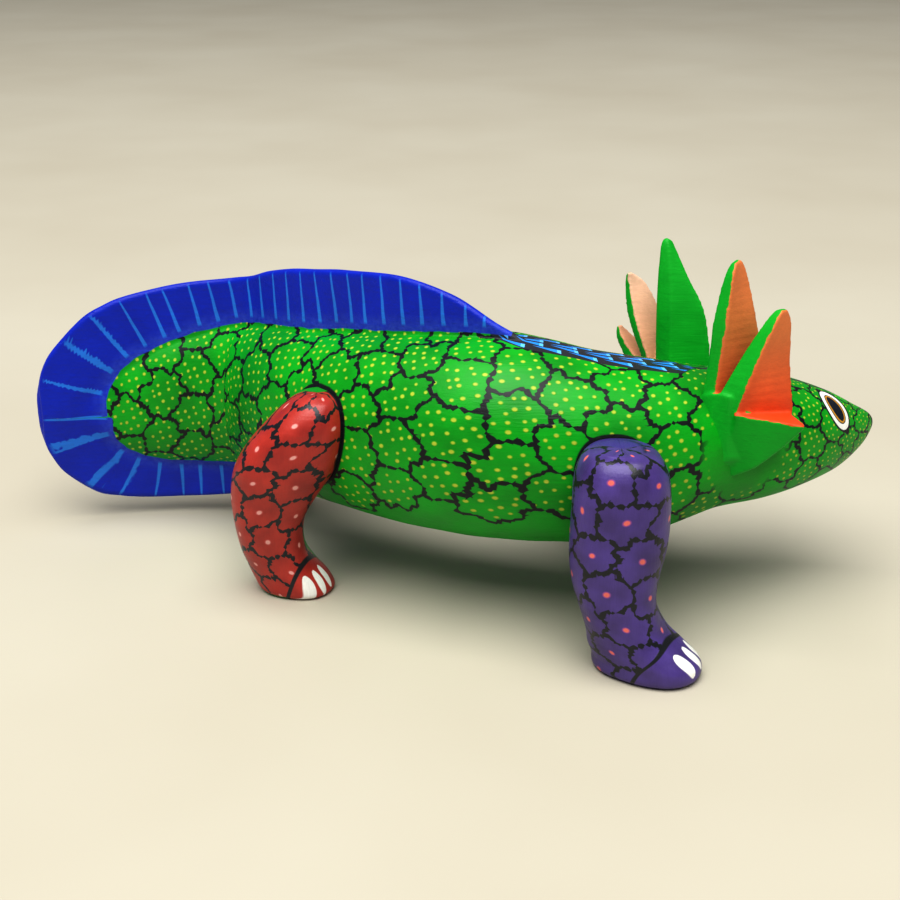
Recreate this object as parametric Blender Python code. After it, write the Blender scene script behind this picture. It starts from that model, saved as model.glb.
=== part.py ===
"""Painted wooden axolotl: body with tail and fin, four legs, two gill fans, and the pegs that hold them.

Metres, +Z up, head towards +X. The soles stand on z = 0 and the origin is under the middle of the figure.
Plans below are in millimetres, as a carver would mark them on the billet; MM turns them to metres.
"""

import math

import bmesh
import bpy
from mathutils import Matrix, Vector

MM = 0.001
GLUE_GAP = 0.3          # between any two pieces that touch
PLAN_CENTRE = (-3.0, 10.1)  # middle of the footprint in the plans, moved to the origin

# Body plan: spine x, spine y, spine height, core half height, core half width, fin top, fin bottom.
# A fin line that lies inside the core leaves a plain round section.
BODY_PLAN = (
    (-128.4, 49.5, 37.1, 0.3, 0.5, 40.4, 33.8),
    (-127.9, 50.0, 36.9, 1.0, 0.5, 46.0, 28.0),
    (-126.2, 50.5, 36.4, 2.0, 0.6, 51.9, 22.6),
    (-122.4, 51.5, 35.7, 3.4, 1.2, 58.1, 15.9),
    (-113.6, 53.5, 35.3, 7.0, 2.6, 67.0, 8.9),
    (-106.6, 55.0, 35.7, 10.8, 4.4, 71.0, 6.9),
    (-101.3, 56.0, 36.6, 14.4, 5.8, 73.1, 6.0),
    (-91.9, 57.0, 37.8, 18.4, 7.5, 75.5, 5.6),
    (-79.1, 57.0, 39.9, 21.0, 9.5, 77.9, 6.2),
    (-66.1, 55.0, 41.8, 22.6, 11.5, 79.7, 7.8),
    (-60.0, 51.5, 42.4, 23.4, 13.0, 81.2, 10.0),
    (-54.1, 46.0, 43.2, 23.9, 15.0, 84.2, 12.7),
    (-47.2, 39.5, 44.0, 24.5, 17.5, 86.6, 15.2),
    (-38.9, 32.0, 44.8, 25.3, 20.0, 88.6, 17.0),
    (-29.4, 24.5, 46.1, 26.3, 22.5, 90.3, 19.0),
    (-14.3, 12.5, 48.2, 27.3, 25.0, 92.0, 22.0),
    (0.0, 4.0, 49.6, 28.2, 26.6, 89.2, 24.0),
    (13.9, -2.0, 50.4, 28.4, 27.2, 81.8, 26.0),
    (27.6, -4.0, 49.6, 27.6, 27.0, 75.0, 26.0),
    (41.6, -3.5, 47.9, 26.0, 26.0, 70.0, 26.0),
    (55.7, -1.0, 47.8, 23.4, 23.8, 66.0, 27.0),
    (70.3, 3.5, 47.9, 20.0, 21.0, 61.5, 31.2),
    (85.5, 9.0, 46.7, 18.2, 18.8, 56.6, 32.0),
    (98.0, 13.5, 45.7, 15.5, 15.8, 51.9, 36.4),
    (108.8, 17.5, 44.6, 11.9, 11.6, 47.3, 41.0),
    (117.1, 20.5, 44.4, 6.9, 7.2, 45.6, 43.0),
    (121.6, 22.2, 45.1, 3.4, 3.6, 45.4, 44.4),
    (122.7, 22.8, 45.4, 1.5, 1.5, 45.5, 45.0),
)
BODY_SECTIONS = 54
BODY_HALF_RING = 26
CORE_ROUNDNESS = 2.2    # 2 is an ellipse, more is squarer
FIN_ROOT_HALF = 2.6     # half thickness where the fin leaves the core
FIN_EDGE_HALF = 1.3     # half thickness of its rounded edge
FIN_TAPER_LENGTH = 20.0
FIN_BLEND = 4.0         # how tightly the fin's root fairs into the core

# Right leg plans: height, middle x, middle y, half length, half width, turn of the long axis in degrees.
FRONT_LEG_PLAN = (
    (0.0, 51.5, -42.8, 13.0, 9.2, -30.0),
    (1.2, 51.7, -42.8, 14.8, 10.8, -30.0),
    (4.5, 51.4, -42.8, 14.7, 10.8, -29.0),
    (8.0, 49.0, -42.5, 13.2, 10.5, -26.0),
    (12.5, 46.2, -42.2, 10.8, 10.2, -20.0),
    (20.0, 43.4, -41.4, 10.5, 10.6, 0.0),
    (28.0, 42.7, -40.4, 11.8, 11.2, 0.0),
    (37.0, 43.5, -39.2, 12.9, 11.8, 0.0),
    (46.0, 43.9, -38.0, 12.8, 12.0, 0.0),
    (53.0, 43.9, -37.0, 12.2, 11.6, 0.0),
    (57.0, 43.7, -36.4, 10.8, 10.6, 0.0),
    (59.2, 43.6, -36.0, 8.8, 9.0, 0.0),
    (60.0, 43.6, -36.0, 6.0, 6.4, 0.0),
)
REAR_LEG_PLAN = (
    (0.0, -45.0, 4.3, 9.8, 7.6, -22.0),
    (1.2, -45.0, 4.3, 11.4, 9.2, -22.0),
    (5.0, -46.6, 4.2, 11.4, 9.1, -22.0),
    (10.0, -49.4, 3.6, 9.9, 8.8, -14.0),
    (15.5, -51.2, 2.6, 9.4, 8.8, 0.0),
    (24.0, -51.6, 1.4, 10.3, 9.2, 0.0),
    (32.0, -49.6, 0.4, 12.4, 10.0, 0.0),
    (40.0, -46.4, -0.5, 14.4, 10.8, 0.0),
    (47.0, -43.0, -1.0, 13.8, 11.0, 0.0),
    (52.5, -40.2, -1.0, 12.0, 10.8, 0.0),
    (57.0, -38.2, -0.5, 9.6, 10.0, 0.0),
    (60.6, -37.0, 0.0, 6.4, 8.0, 0.0),
    (62.2, -36.7, 0.0, 3.4, 4.8, 0.0),
)
# The left legs: the reflecting line's y twice over, forward shift, sweep of the foot, lean of the shoulder.
FRONT_LEFT_STANCE = (2.0, 0.1, 2.3, -11.7)
REAR_LEFT_STANCE = (70.5, 7.3, -19.3, -11.3)
LEG_RINGS = 26
LEG_RING_SIDES = 28
LEG_ROUNDNESS = 2.25
PRONG_RINGS = 8

# Pins, from their outer end in the limb to their inner end in the body.
DOWEL_RADIUS = 3.0
DOWELS = {
    "front_right": ((44.0, -41.5, 47.0), (44.0, -19.5, 47.0)),
    "front_left": ((44.5, 36.0, 47.0), (44.5, 14.0, 47.0)),
    "rear_right": ((-44.5, -4.5, 46.0), (-33.5, 14.5, 46.0)),
    "rear_left": ((-39.0, 65.5, 46.0), (-54.5, 50.0, 46.0)),
}
PEG_RADIUS = 2.0
GILL_PEGS = {
    "right": ((77.0, -17.4, 55.0), (73.4, -6.0, 55.0)),
    "left": ((60.0, 28.5, 56.0), (63.6, 15.4, 56.0)),
}
PIN_SIDES = 24
SOCKET_END_GAP = 0.6    # room left past either end of a pin

GREEN = (0.030, 0.500, 0.050)
PURPLE = (0.080, 0.040, 0.440)
RED = (0.520, 0.045, 0.040)
BARE_WOOD = (0.620, 0.440, 0.260)


def catmull_rom(rows, sections):
    """Rows of numbers faired through the plan's rows, evenly spaced in row number."""
    found = []
    last = len(rows) - 1
    for i in range(sections):
        place = last * i / (sections - 1)
        k = min(int(place), last - 1)
        t = place - k
        around = [rows[min(max(k + j, 0), last)] for j in (-1, 0, 1, 2)]
        found.append([
            0.5 * (2 * b + (c - a) * t + (2 * a - 5 * b + 4 * c - d) * t * t
                   + (3 * b - a - 3 * c + d) * t ** 3)
            for a, b, c, d in zip(*around)
        ])
    return found


def along_length(points, count):
    """Points spaced evenly by length along a polyline."""
    lengths = [0.0]
    for a, b in zip(points, points[1:]):
        lengths.append(lengths[-1] + math.dist(a, b))
    found = []
    k = 0
    for i in range(count):
        want = lengths[-1] * i / (count - 1)
        while k < len(points) - 2 and lengths[k + 1] < want:
            k += 1
        span = lengths[k + 1] - lengths[k]
        t = (want - lengths[k]) / span if span else 0.0
        found.append([a + (b - a) * t for a, b in zip(points[k], points[k + 1])])
    return found


def half_section(middle, core_high, core_wide, fin_top, fin_bottom, swell):
    """The right half of a body section as (half width, height), from its lowest to its highest point."""
    top = max(middle + core_high, fin_top) + swell
    bottom = min(middle - core_high, fin_bottom) - swell
    steps = 160
    points = []
    for i in range(steps + 1):
        z = bottom + (top - bottom) * (1 - math.cos(math.pi * i / steps)) / 2
        share = min(abs(z - middle) / (core_high + swell), 1.0)
        core = (core_wide + swell) * (1 - share ** CORE_ROUNDNESS) ** (1 / CORE_ROUNDNESS)
        fin = 0.0
        if bottom < z < top and (fin_top > middle + core_high or fin_bottom < middle - core_high):
            depth = min(z - bottom, top - z)
            edge = FIN_EDGE_HALF + swell
            edge = min(edge, (top - bottom) / 4)
            taper = min(depth / FIN_TAPER_LENGTH, 1.0)
            wedge = edge + (FIN_ROOT_HALF - FIN_EDGE_HALF) * taper
            rounding = math.sqrt(max(2 * edge * depth - depth * depth, 0.0)) / edge if depth < edge else 1.0
            fin = wedge * rounding
        width = (core ** FIN_BLEND + fin ** FIN_BLEND) ** (1 / FIN_BLEND)
        points.append((width, z))
    points[0] = (0.0, bottom)
    points[-1] = (0.0, top)
    return along_length(points, BODY_HALF_RING + 1)


def body_rings(swell=0.0):
    """Closed rings of points for the body, from tail to snout; swell grows them all round."""
    rows = catmull_rom(BODY_PLAN, BODY_SECTIONS)
    rings = []
    for i, row in enumerate(rows):
        x, y, middle, core_high, core_wide, fin_top, fin_bottom = row
        before = rows[max(i - 1, 0)]
        after = rows[min(i + 1, len(rows) - 1)]
        ahead = Vector((after[0] - before[0], after[1] - before[1])).normalized()
        if i in (0, len(rows) - 1):
            end = swell if i else -swell
            x += ahead.x * end
            y += ahead.y * end
        half = half_section(middle, core_high, core_wide, fin_top, fin_bottom, swell)
        right = [(x + ahead.y * w, y - ahead.x * w, z) for w, z in half]
        left = [(x - ahead.y * w, y + ahead.x * w, z) for w, z in reversed(half[1:-1])]
        rings.append(right + left)
    return rings


def leg_rings(plan):
    """Closed level rings of points for a leg, from sole to shoulder."""
    rings = []
    for z, x, y, long_half, wide_half, turn in catmull_rom(plan, LEG_RINGS):
        turned = Matrix.Rotation(math.radians(turn), 2)
        ring = []
        for k in range(LEG_RING_SIDES):
            angle = 2 * math.pi * k / LEG_RING_SIDES
            c, s = math.cos(angle), math.sin(angle)
            flat = Vector((
                long_half * math.copysign(abs(c) ** (2 / LEG_ROUNDNESS), c),
                wide_half * math.copysign(abs(s) ** (2 / LEG_ROUNDNESS), s),
            ))
            flat = turned @ flat
            ring.append((x + flat.x, y + flat.y, max(z, 0.0)))
        rings.append(ring)
    return rings


def placed(point):
    """A plan point in millimetres as a point of the figure in metres."""
    x, y, z = point
    return ((x - PLAN_CENTRE[0]) * MM, (y - PLAN_CENTRE[1]) * MM, z * MM)


def new_object(name, bm, collection):
    """A smooth-shaded object made from bm, with its faces pointing out."""
    bmesh.ops.recalc_face_normals(bm, faces=bm.faces)
    mesh = bpy.data.meshes.new(name)
    bm.to_mesh(mesh)
    bm.free()
    obj = bpy.data.objects.new(name, mesh)
    collection.objects.link(obj)
    mesh.shade_smooth()
    mesh.set_sharp_from_angle(angle=math.radians(50))
    return obj


def loft(name, rings, collection):
    """A closed solid through rings of equal count, with a flat face at either end."""
    bm = bmesh.new()
    rows = [[bm.verts.new(placed(point)) for point in ring] for ring in rings]
    for low, high in zip(rows, rows[1:]):
        for k in range(len(low)):
            j = (k + 1) % len(low)
            bm.faces.new((low[k], low[j], high[j], high[k]))
    bm.faces.new(reversed(rows[0]))
    bm.faces.new(rows[-1])
    return new_object(name, bm, collection)


def rod(name, start, end, radius, collection):
    """A round rod from a capped cylinder primitive, between two plan points."""
    a, b = Vector(placed(start)), Vector(placed(end))
    bm = bmesh.new()
    bmesh.ops.create_cone(
        bm, cap_ends=True, segments=PIN_SIDES,
        radius1=radius * MM, radius2=radius * MM, depth=(b - a).length,
    )
    turn = (b - a).to_track_quat("Z", "Y").to_matrix().to_4x4()
    bmesh.ops.transform(bm, matrix=Matrix.Translation((a + b) / 2) @ turn, verts=bm.verts)
    return new_object(name, bm, collection)


def as_cutter(obj):
    """Keeps an object out of the figure, as a tool that others are cut with."""
    obj.hide_render = True
    obj.display_type = "WIRE"
    return obj


def combine(obj, tool, operation, solver="EXACT"):
    """Adds a Boolean of obj with tool."""
    modifier = obj.modifiers.new(operation.lower(), "BOOLEAN")
    modifier.operation = operation
    modifier.solver = solver
    modifier.object = tool


def left_plan(plan, stance):
    """A right leg's plan reflected to the left side, in its own stance."""
    line, forward, sweep, lean = stance
    top = plan[-1][0]
    return tuple(
        (z, x + forward + sweep * (1 - z / top), line - y + lean * z / top, long_half, wide_half, -turn)
        for z, x, y, long_half, wide_half, turn in plan
    )


def prong_rings(edges):
    """Four-sided rings of a gill prong through its four edge lines, from base to tip."""
    return list(zip(*(catmull_rom(line, PRONG_RINGS) for line in edges)))


# Gill fans, plan millimetres. Each prong is a tapered slab, given by four lines from base to tip that run
# round it: the arris of its outer edge, the palm's inner edge, and the two corners of its back.
RIGHT_FAN = {
    "tall": (
        ((69.5, -15.0, 56.0), (70.7, -15.2, 71.0), (72.0, -15.2, 86.5), (73.2, -13.4, 98.0), (74.2, -11.4, 101.8)),
        ((86.0, -11.0, 56.0), (84.2, -10.2, 71.0), (81.2, -9.5, 85.5), (77.8, -8.2, 98.5), (75.8, -8.6, 102.0)),
        ((82.0, -6.0, 56.0), (80.5, -5.4, 71.0), (78.2, -5.0, 86.0), (75.6, -5.6, 98.5), (75.0, -7.2, 101.8)),
        ((65.5, -11.5, 56.0), (67.6, -13.0, 71.0), (68.6, -13.0, 85.5), (70.9, -11.4, 97.0), (73.0, -9.8, 101.4)),
    ),
    "middle": (
        ((74.2, -18.0, 50.0), (75.7, -19.6, 63.0), (79.9, -19.6, 77.2), (84.2, -18.8, 88.2), (86.0, -17.2, 90.8)),
        ((91.5, -11.0, 50.0), (91.4, -15.5, 62.0), (89.8, -14.5, 76.0), (89.3, -14.5, 86.0), (87.8, -15.0, 90.2)),
        ((88.0, -6.5, 50.0), (87.6, -10.5, 62.0), (86.4, -10.5, 76.0), (86.8, -12.0, 86.5), (86.8, -13.8, 90.4)),
        ((67.5, -14.0, 50.0), (69.6, -16.0, 64.0), (75.8, -16.0, 77.0), (81.0, -16.0, 86.2), (84.2, -15.8, 90.6)),
    ),
    "low": (
        ((74.6, -20.2, 63.2), (81.0, -22.4, 62.8), (87.2, -24.2, 62.3), (92.2, -25.4, 61.9)),
        ((88.0, -8.0, 62.2), (89.8, -12.5, 62.2), (91.4, -18.5, 62.1), (92.8, -24.0, 61.9)),
        ((83.5, -8.0, 42.5), (85.8, -12.0, 46.6), (88.6, -17.5, 53.4), (92.4, -24.2, 60.6)),
        ((75.0, -16.5, 43.5), (80.8, -19.6, 47.4), (86.4, -22.2, 53.2), (92.0, -25.2, 60.6)),
    ),
    "root": (
        ((62.5, -6.0, 62.0), (66.2, -11.8, 65.0), (69.6, -15.6, 67.5), (73.4, -18.6, 68.0)),
        ((90.0, -4.0, 62.6), (89.5, -9.0, 62.6), (86.0, -14.4, 62.2), (81.0, -19.8, 61.8)),
        ((86.5, -6.0, 42.0), (84.6, -10.2, 43.6), (82.0, -14.8, 45.6), (79.4, -18.8, 49.4)),
        ((62.5, -8.0, 42.0), (66.4, -14.0, 43.6), (70.4, -17.2, 46.2), (74.4, -18.8, 50.0)),
    ),
}
LEFT_FAN = {
    "tall": (
        ((60.0, 24.5, 54.0), (59.2, 25.5, 80.0), (59.8, 27.8, 95.0), (60.8, 28.6, 98.2)),
        ((61.5, 29.0, 54.0), (60.4, 29.6, 80.0), (60.8, 30.6, 95.0), (61.4, 30.8, 98.0)),
        ((73.0, 27.0, 52.0), (71.0, 28.0, 76.0), (66.5, 29.5, 88.0), (63.0, 30.5, 97.4)),
        ((76.5, 20.5, 52.0), (73.6, 22.5, 76.0), (68.0, 25.4, 88.0), (63.4, 28.4, 97.6)),
        ((63.5, 19.5, 52.0), (63.0, 22.8, 80.0), (62.0, 26.4, 95.0), (61.8, 28.0, 98.6)),
    ),
    "middle": (
        ((61.0, 24.0, 54.0), (54.8, 31.0, 72.0), (52.6, 35.0, 82.5), (52.0, 35.8, 86.2)),
        ((59.6, 28.0, 54.0), (52.6, 33.6, 72.0), (51.2, 36.8, 82.0), (51.6, 37.2, 86.0)),
        ((68.0, 34.0, 54.0), (60.0, 38.5, 72.0), (55.6, 39.4, 82.0), (52.8, 38.0, 86.0)),
        ((71.0, 29.5, 54.0), (63.5, 35.0, 72.0), (58.0, 37.4, 82.5), (53.4, 36.6, 86.2)),
    ),
    "low": (
        ((62.0, 25.0, 53.0), (55.0, 33.6, 61.0), (51.4, 37.6, 66.0), (50.2, 39.4, 69.0)),
        ((61.0, 27.0, 49.0), (53.4, 35.2, 58.0), (49.8, 39.6, 65.0), (49.8, 40.4, 68.8)),
        ((71.0, 27.0, 49.0), (59.6, 38.5, 58.0), (53.0, 42.0, 65.2), (51.0, 41.4, 68.8)),
        ((72.0, 25.0, 53.0), (60.6, 36.5, 61.5), (54.4, 40.4, 66.4), (51.6, 40.4, 69.0)),
    ),
}


def wood(name, colour, roughness):
    """A painted or bare wooden surface."""
    material = bpy.data.materials.new(name)
    material.use_nodes = True
    shader = material.node_tree.nodes["Principled BSDF"]
    shader.inputs["Base Color"].default_value = (*colour, 1.0)
    shader.inputs["Roughness"].default_value = roughness
    shader.inputs["Metallic"].default_value = 0.0
    return material


def fan(side, lines, seat, figure, tools):
    """A gill fan: three prongs, each cut to sit on the neck, joined at the root."""
    name = side + "_gill_fan"
    root = None
    for label, edges in lines.items():
        if root is None:
            root = loft(name, prong_rings(edges), figure)
            combine(root, seat, "DIFFERENCE", "MANIFOLD")
        else:
            branch = as_cutter(loft(name + "_" + label, prong_rings(edges), tools))
            combine(branch, seat, "DIFFERENCE", "MANIFOLD")
            combine(root, branch, "UNION", "MANIFOLD")
    return root


def pin(name, ends, radius, holders, figure, tools, solver="EXACT"):
    """A round pin between two plan points, and its socket in each of the pieces that hold it."""
    outer, inner = Vector(ends[0]), Vector(ends[1])
    made = rod(name, outer, inner, radius, figure)
    past = (inner - outer).normalized() * SOCKET_END_GAP
    socket = as_cutter(rod(name + "_socket", outer - past, inner + past, radius + GLUE_GAP, tools))
    for holder in holders:
        combine(holder, socket, "DIFFERENCE", solver)
    return made


def main():
    """Builds every piece of the figure."""
    for old in list(bpy.data.objects):
        bpy.data.objects.remove(old, do_unlink=True)
    figure = bpy.data.collections.new("axolotl_figure")
    tools = bpy.data.collections.new("carving_tools")
    for collection in (figure, tools):
        bpy.context.scene.collection.children.link(collection)

    green = wood("painted_green_wood", GREEN, 0.45)
    purple = wood("painted_purple_wood", PURPLE, 0.45)
    red = wood("painted_red_wood", RED, 0.45)
    bare = wood("bare_wood", BARE_WOOD, 0.7)

    body = loft("body", body_rings(), figure)
    body.data.materials.append(green)
    seat = as_cutter(loft("body_seat", body_rings(GLUE_GAP), tools))

    legs = (
        ("front_right", FRONT_LEG_PLAN, purple),
        ("front_left", left_plan(FRONT_LEG_PLAN, FRONT_LEFT_STANCE), purple),
        ("rear_right", REAR_LEG_PLAN, red),
        ("rear_left", left_plan(REAR_LEG_PLAN, REAR_LEFT_STANCE), red),
    )
    for name, plan, paint in legs:
        leg = loft(name + "_leg", leg_rings(plan), figure)
        leg.data.materials.append(paint)
        combine(leg, seat, "DIFFERENCE")
        dowel = pin(name + "_dowel", DOWELS[name], DOWEL_RADIUS, (leg, body), figure, tools)
        dowel.data.materials.append(bare)

    for side, lines in (("right", RIGHT_FAN), ("left", LEFT_FAN)):
        gills = fan(side, lines, seat, figure, tools)
        gills.data.materials.append(green)
        peg = pin(side + "_gill_peg", GILL_PEGS[side], PEG_RADIUS, (gills, body), figure, tools, "MANIFOLD")
        peg.data.materials.append(bare)


main()
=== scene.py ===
"""Painted wooden axolotl: the looks of every piece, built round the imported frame.

Plans and pattern sizes are in millimetres; MM turns them to metres. The head points along +X and the
figure's right side faces -Y.
"""

import logging
import math
from dataclasses import dataclass, field
from enum import Enum

import bmesh
import bpy
import numpy as np
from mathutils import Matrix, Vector, noise
from mathutils.bvhtree import BVHTree

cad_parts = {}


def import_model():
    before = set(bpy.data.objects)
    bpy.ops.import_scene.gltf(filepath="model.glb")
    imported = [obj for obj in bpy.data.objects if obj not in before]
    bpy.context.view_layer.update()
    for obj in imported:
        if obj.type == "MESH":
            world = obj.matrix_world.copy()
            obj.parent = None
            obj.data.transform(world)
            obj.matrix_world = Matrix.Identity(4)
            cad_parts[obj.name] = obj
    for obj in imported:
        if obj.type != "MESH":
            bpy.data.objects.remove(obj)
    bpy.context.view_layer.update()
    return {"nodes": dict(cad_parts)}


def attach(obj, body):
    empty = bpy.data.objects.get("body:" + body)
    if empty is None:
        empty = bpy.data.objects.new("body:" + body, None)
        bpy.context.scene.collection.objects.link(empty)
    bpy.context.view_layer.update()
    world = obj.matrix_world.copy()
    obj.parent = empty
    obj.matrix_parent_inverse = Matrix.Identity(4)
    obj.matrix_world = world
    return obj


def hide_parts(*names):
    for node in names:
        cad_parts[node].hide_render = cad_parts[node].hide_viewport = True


LOG = logging.getLogger("axolotl")
MM = 0.001
PLAN_CENTRE = np.array((-3.0, 10.1, 0.0))  # middle of the footprint in the plans

FAR = 9.0             # mm, a gap that reads as nowhere near
FLANK_SHIFT = 431.0   # mm that the left flank's pattern is moved along, so that it isn't the right one's twin

Row = tuple[float, ...]
Tree = bpy.types.NodeTree
Socket = bpy.types.NodeSocket
Piece = bpy.types.Object
Feed = object  # a socket to link, or a plain value to set


class Node(Enum):
    """The shader nodes that the finishes are mixed from."""

    ATTRIBUTE = "ShaderNodeAttribute"
    BUMP = "ShaderNodeBump"
    COORDINATES = "ShaderNodeTexCoord"
    MAPPING = "ShaderNodeMapping"
    MATH = "ShaderNodeMath"
    MIX = "ShaderNodeMix"
    NOISE = "ShaderNodeTexNoise"
    OUTPUT = "ShaderNodeOutputMaterial"
    RANDOM = "ShaderNodeTexWhiteNoise"
    RANGE = "ShaderNodeMapRange"
    SEPARATE = "ShaderNodeSeparateXYZ"
    SHADER = "ShaderNodeBsdfPrincipled"
    VECTOR = "ShaderNodeVectorMath"
    VORONOI = "ShaderNodeTexVoronoi"


class Side(Enum):
    """The two flanks, with the sign of y that each faces."""

    RIGHT = -1.0
    LEFT = 1.0


def linear(colour: str) -> tuple[float, float, float, float]:
    """Turns an sRGB hex colour to linear light.

    Args:
        colour: six hex digits with or without a leading #.

    Returns:
        Linear red, green, blue and an alpha of one.
    """
    digits = colour.lstrip("#")
    shares = [int(digits[i:i + 2], 16) / 255 for i in (0, 2, 4)]
    light = [s / 12.92 if s <= 0.04045 else ((s + 0.055) / 1.055) ** 2.4 for s in shares]
    return (light[0], light[1], light[2], 1.0)


def add(tree: Tree, kind: Node, feeds: dict | tuple = (), out: str | int = 0, **settings: object) -> Socket:
    """Adds a node, with its settings and links.

    Args:
        tree: the material's node tree.
        kind: which node to add.
        feeds: values or sockets for its inputs, in order or by name or number.
        out: the output to hand back.
        settings: properties of the node itself.

    Returns:
        The chosen output socket, or the node's last input where it has no output.
    """
    node = tree.nodes.new(kind.value)
    for name, value in settings.items():
        setattr(node, name, value)
    pairs = feeds.items() if isinstance(feeds, dict) else enumerate(feeds)
    for key, value in pairs:
        if isinstance(value, Socket):
            tree.links.new(value, node.inputs[key])
        else:
            node.inputs[key].default_value = value
    return node.outputs[out] if len(node.outputs) else node.inputs[0]


def fair(rows: tuple[Row, ...], places: np.ndarray) -> np.ndarray:
    """Fairs a curve through the rows of a plan.

    Args:
        rows: the plan, one row of numbers for each station.
        places: row numbers, with fractions, at which the curve is wanted.

    Returns:
        One row of numbers for each place.
    """
    table = np.array(rows, float)
    last = len(table) - 1
    k = np.minimum(places.astype(int), last - 1)
    t = (places - k)[:, None]
    a, b, c, d = (table[np.clip(k + j, 0, last)] for j in (-1, 0, 1, 2))
    return 0.5 * (
        2 * b + (c - a) * t + (2 * a - 5 * b + 4 * c - d) * t ** 2 + (3 * b - a - 3 * c + d) * t ** 3
    )


def lengths_along(line: np.ndarray) -> np.ndarray:
    """Measures how far along a line in a plane each of its points lies."""
    return np.concatenate(([0.0], np.cumsum(np.hypot(*np.diff(line, axis=0).T))))


def evenly(line: np.ndarray, step: float) -> tuple[np.ndarray, np.ndarray]:
    """Places points at an even step along a line in a plane.

    Args:
        line: the line's points.
        step: the step between the new points.

    Returns:
        How far along each new point lies, and the new points.
    """
    spacing = lengths_along(line)
    even = np.arange(0, spacing[-1], step)
    return even, np.column_stack([np.interp(even, spacing, line[:, i]) for i in (0, 1)])


def smooth_step(share: np.ndarray | float) -> np.ndarray:
    """Eases a share from 0 to 1."""
    held = np.clip(share, 0.0, 1.0)
    return held * held * (3 - 2 * held)


def ellipse_gap(x: np.ndarray, y: np.ndarray, long_half: float, wide_half: float) -> np.ndarray:
    """Measures roughly how far points lie outside an ellipse.

    Args:
        x: each point's place along the ellipse's long way, from its middle.
        y: each point's place across it.
        long_half: half the ellipse's length.
        wide_half: half its width.

    Returns:
        A gap for each point, in the unit of x and y, negative inside.
    """
    away = np.hypot(x / long_half, y / wide_half)
    slope = np.hypot(x / long_half ** 2, y / wide_half ** 2) / np.maximum(away, 1e-6)
    return (away - 1) / np.maximum(slope, 1e-6)


def whittle(points: np.ndarray, depth: float, size: float) -> np.ndarray:
    """Gives how deep the soft knife and sanding hollows, each about one size wide, are at each point."""
    found = np.array([noise.noise(Vector(p) / size) for p in points])
    return depth * np.clip(0.5 + found, 0.0, 1.0)


def make_piece(name: str, points: np.ndarray, faces: list[tuple[int, ...]]) -> Piece:
    """Makes a smooth piece from plan points.

    Args:
        name: the piece's name.
        points: its vertices in plan millimetres.
        faces: its faces as vertex numbers.

    Returns:
        The new object, linked to the scene.
    """
    mesh = bpy.data.meshes.new(name)
    mesh.from_pydata(((points - PLAN_CENTRE) * MM).tolist(), [], faces)
    mesh.validate()
    turned = bmesh.new()
    turned.from_mesh(mesh)
    bmesh.ops.recalc_face_normals(turned, faces=turned.faces)
    turned.to_mesh(mesh)
    turned.free()
    mesh.shade_smooth()
    piece = bpy.data.objects.new(name, mesh)
    bpy.context.scene.collection.objects.link(piece)
    return piece


def wall(rings: int, columns: int) -> list[tuple[int, ...]]:
    """Joins closed rings, numbered one after another, into a wall of four-sided faces.

    Args:
        rings: how many rings there are.
        columns: points in a ring.

    Returns:
        The faces as vertex numbers.
    """
    return [
        (i * columns + k, i * columns + j, (i + 1) * columns + j, (i + 1) * columns + k)
        for i in range(rings - 1) for k, j in zip(range(columns), (*range(1, columns), 0))
    ]


def note(piece: Piece, name: str, values: np.ndarray, domain: str = "POINT") -> None:
    """Writes a number or a vector on each vertex or face of a piece, for its finish to read.

    Args:
        piece: the object to write on.
        name: the attribute's name.
        values: one number, or three, for each vertex or face.
        domain: POINT or FACE.
    """
    vector = values.ndim == 2
    kept = piece.data.attributes.new(name, "FLOAT_VECTOR" if vector else "FLOAT", domain)
    kept.data.foreach_set("vector" if vector else "value", values.astype(np.float32).ravel())


def normals(points: np.ndarray, columns: int) -> np.ndarray:
    """Finds outward directions on a grid of closed rings.

    Args:
        points: the rings' points, one ring after another.
        columns: points in a ring.

    Returns:
        A unit vector for each point.
    """
    grid = points.reshape(-1, columns, 3)
    along = np.gradient(grid, axis=0)
    round_ring = np.roll(grid, -1, axis=1) - np.roll(grid, 1, axis=1)
    found = np.cross(round_ring, along).reshape(-1, 3)
    found /= np.maximum(np.linalg.norm(found, axis=1, keepdims=True), 1e-9)
    outward = (grid - grid.mean(axis=1, keepdims=True)).reshape(-1, 3)
    return found * np.sign((found * outward).sum() or 1.0)


# ---------------------------------------------------------------------------------------------- finishes

def start_finish(name: str) -> tuple[bpy.types.Material, Tree]:
    """Starts a finish with no nodes in it.

    Args:
        name: what the finish is and how it was made.

    Returns:
        The material and its node tree.
    """
    material = bpy.data.materials.new(name)
    material.use_nodes = True
    material.node_tree.nodes.clear()
    return material, material.node_tree


def over(tree: Tree, mask: Socket, below: Feed, paint: str | Socket) -> Socket:
    """Lays one coat over what is below it, where the mask says."""
    top = linear(paint) if isinstance(paint, str) else paint
    return add(tree, Node.MIX, {0: mask, 6: below, 7: top}, out=2, data_type="RGBA")


def inside(tree: Tree, gap: Socket, limit: Feed, crisp: float = 6.0) -> Socket:
    """Gives 1 where a gap in millimetres is under the limit, with a brushed soft edge."""
    room = add(tree, Node.MATH, (limit, gap), operation="SUBTRACT")
    return add(tree, Node.MATH, (room, crisp, 0.5), operation="MULTIPLY_ADD", use_clamp=True)


def all_of(tree: Tree, *masks: Socket) -> Socket:
    """Keeps a mask only where the others are on too.

    Args:
        tree: the material's node tree.
        masks: the masks, each from 0 to 1.

    Returns:
        Their product.
    """
    kept = masks[0]
    for mask in masks[1:]:
        kept = add(tree, Node.MATH, (kept, mask), operation="MULTIPLY")
    return kept


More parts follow.
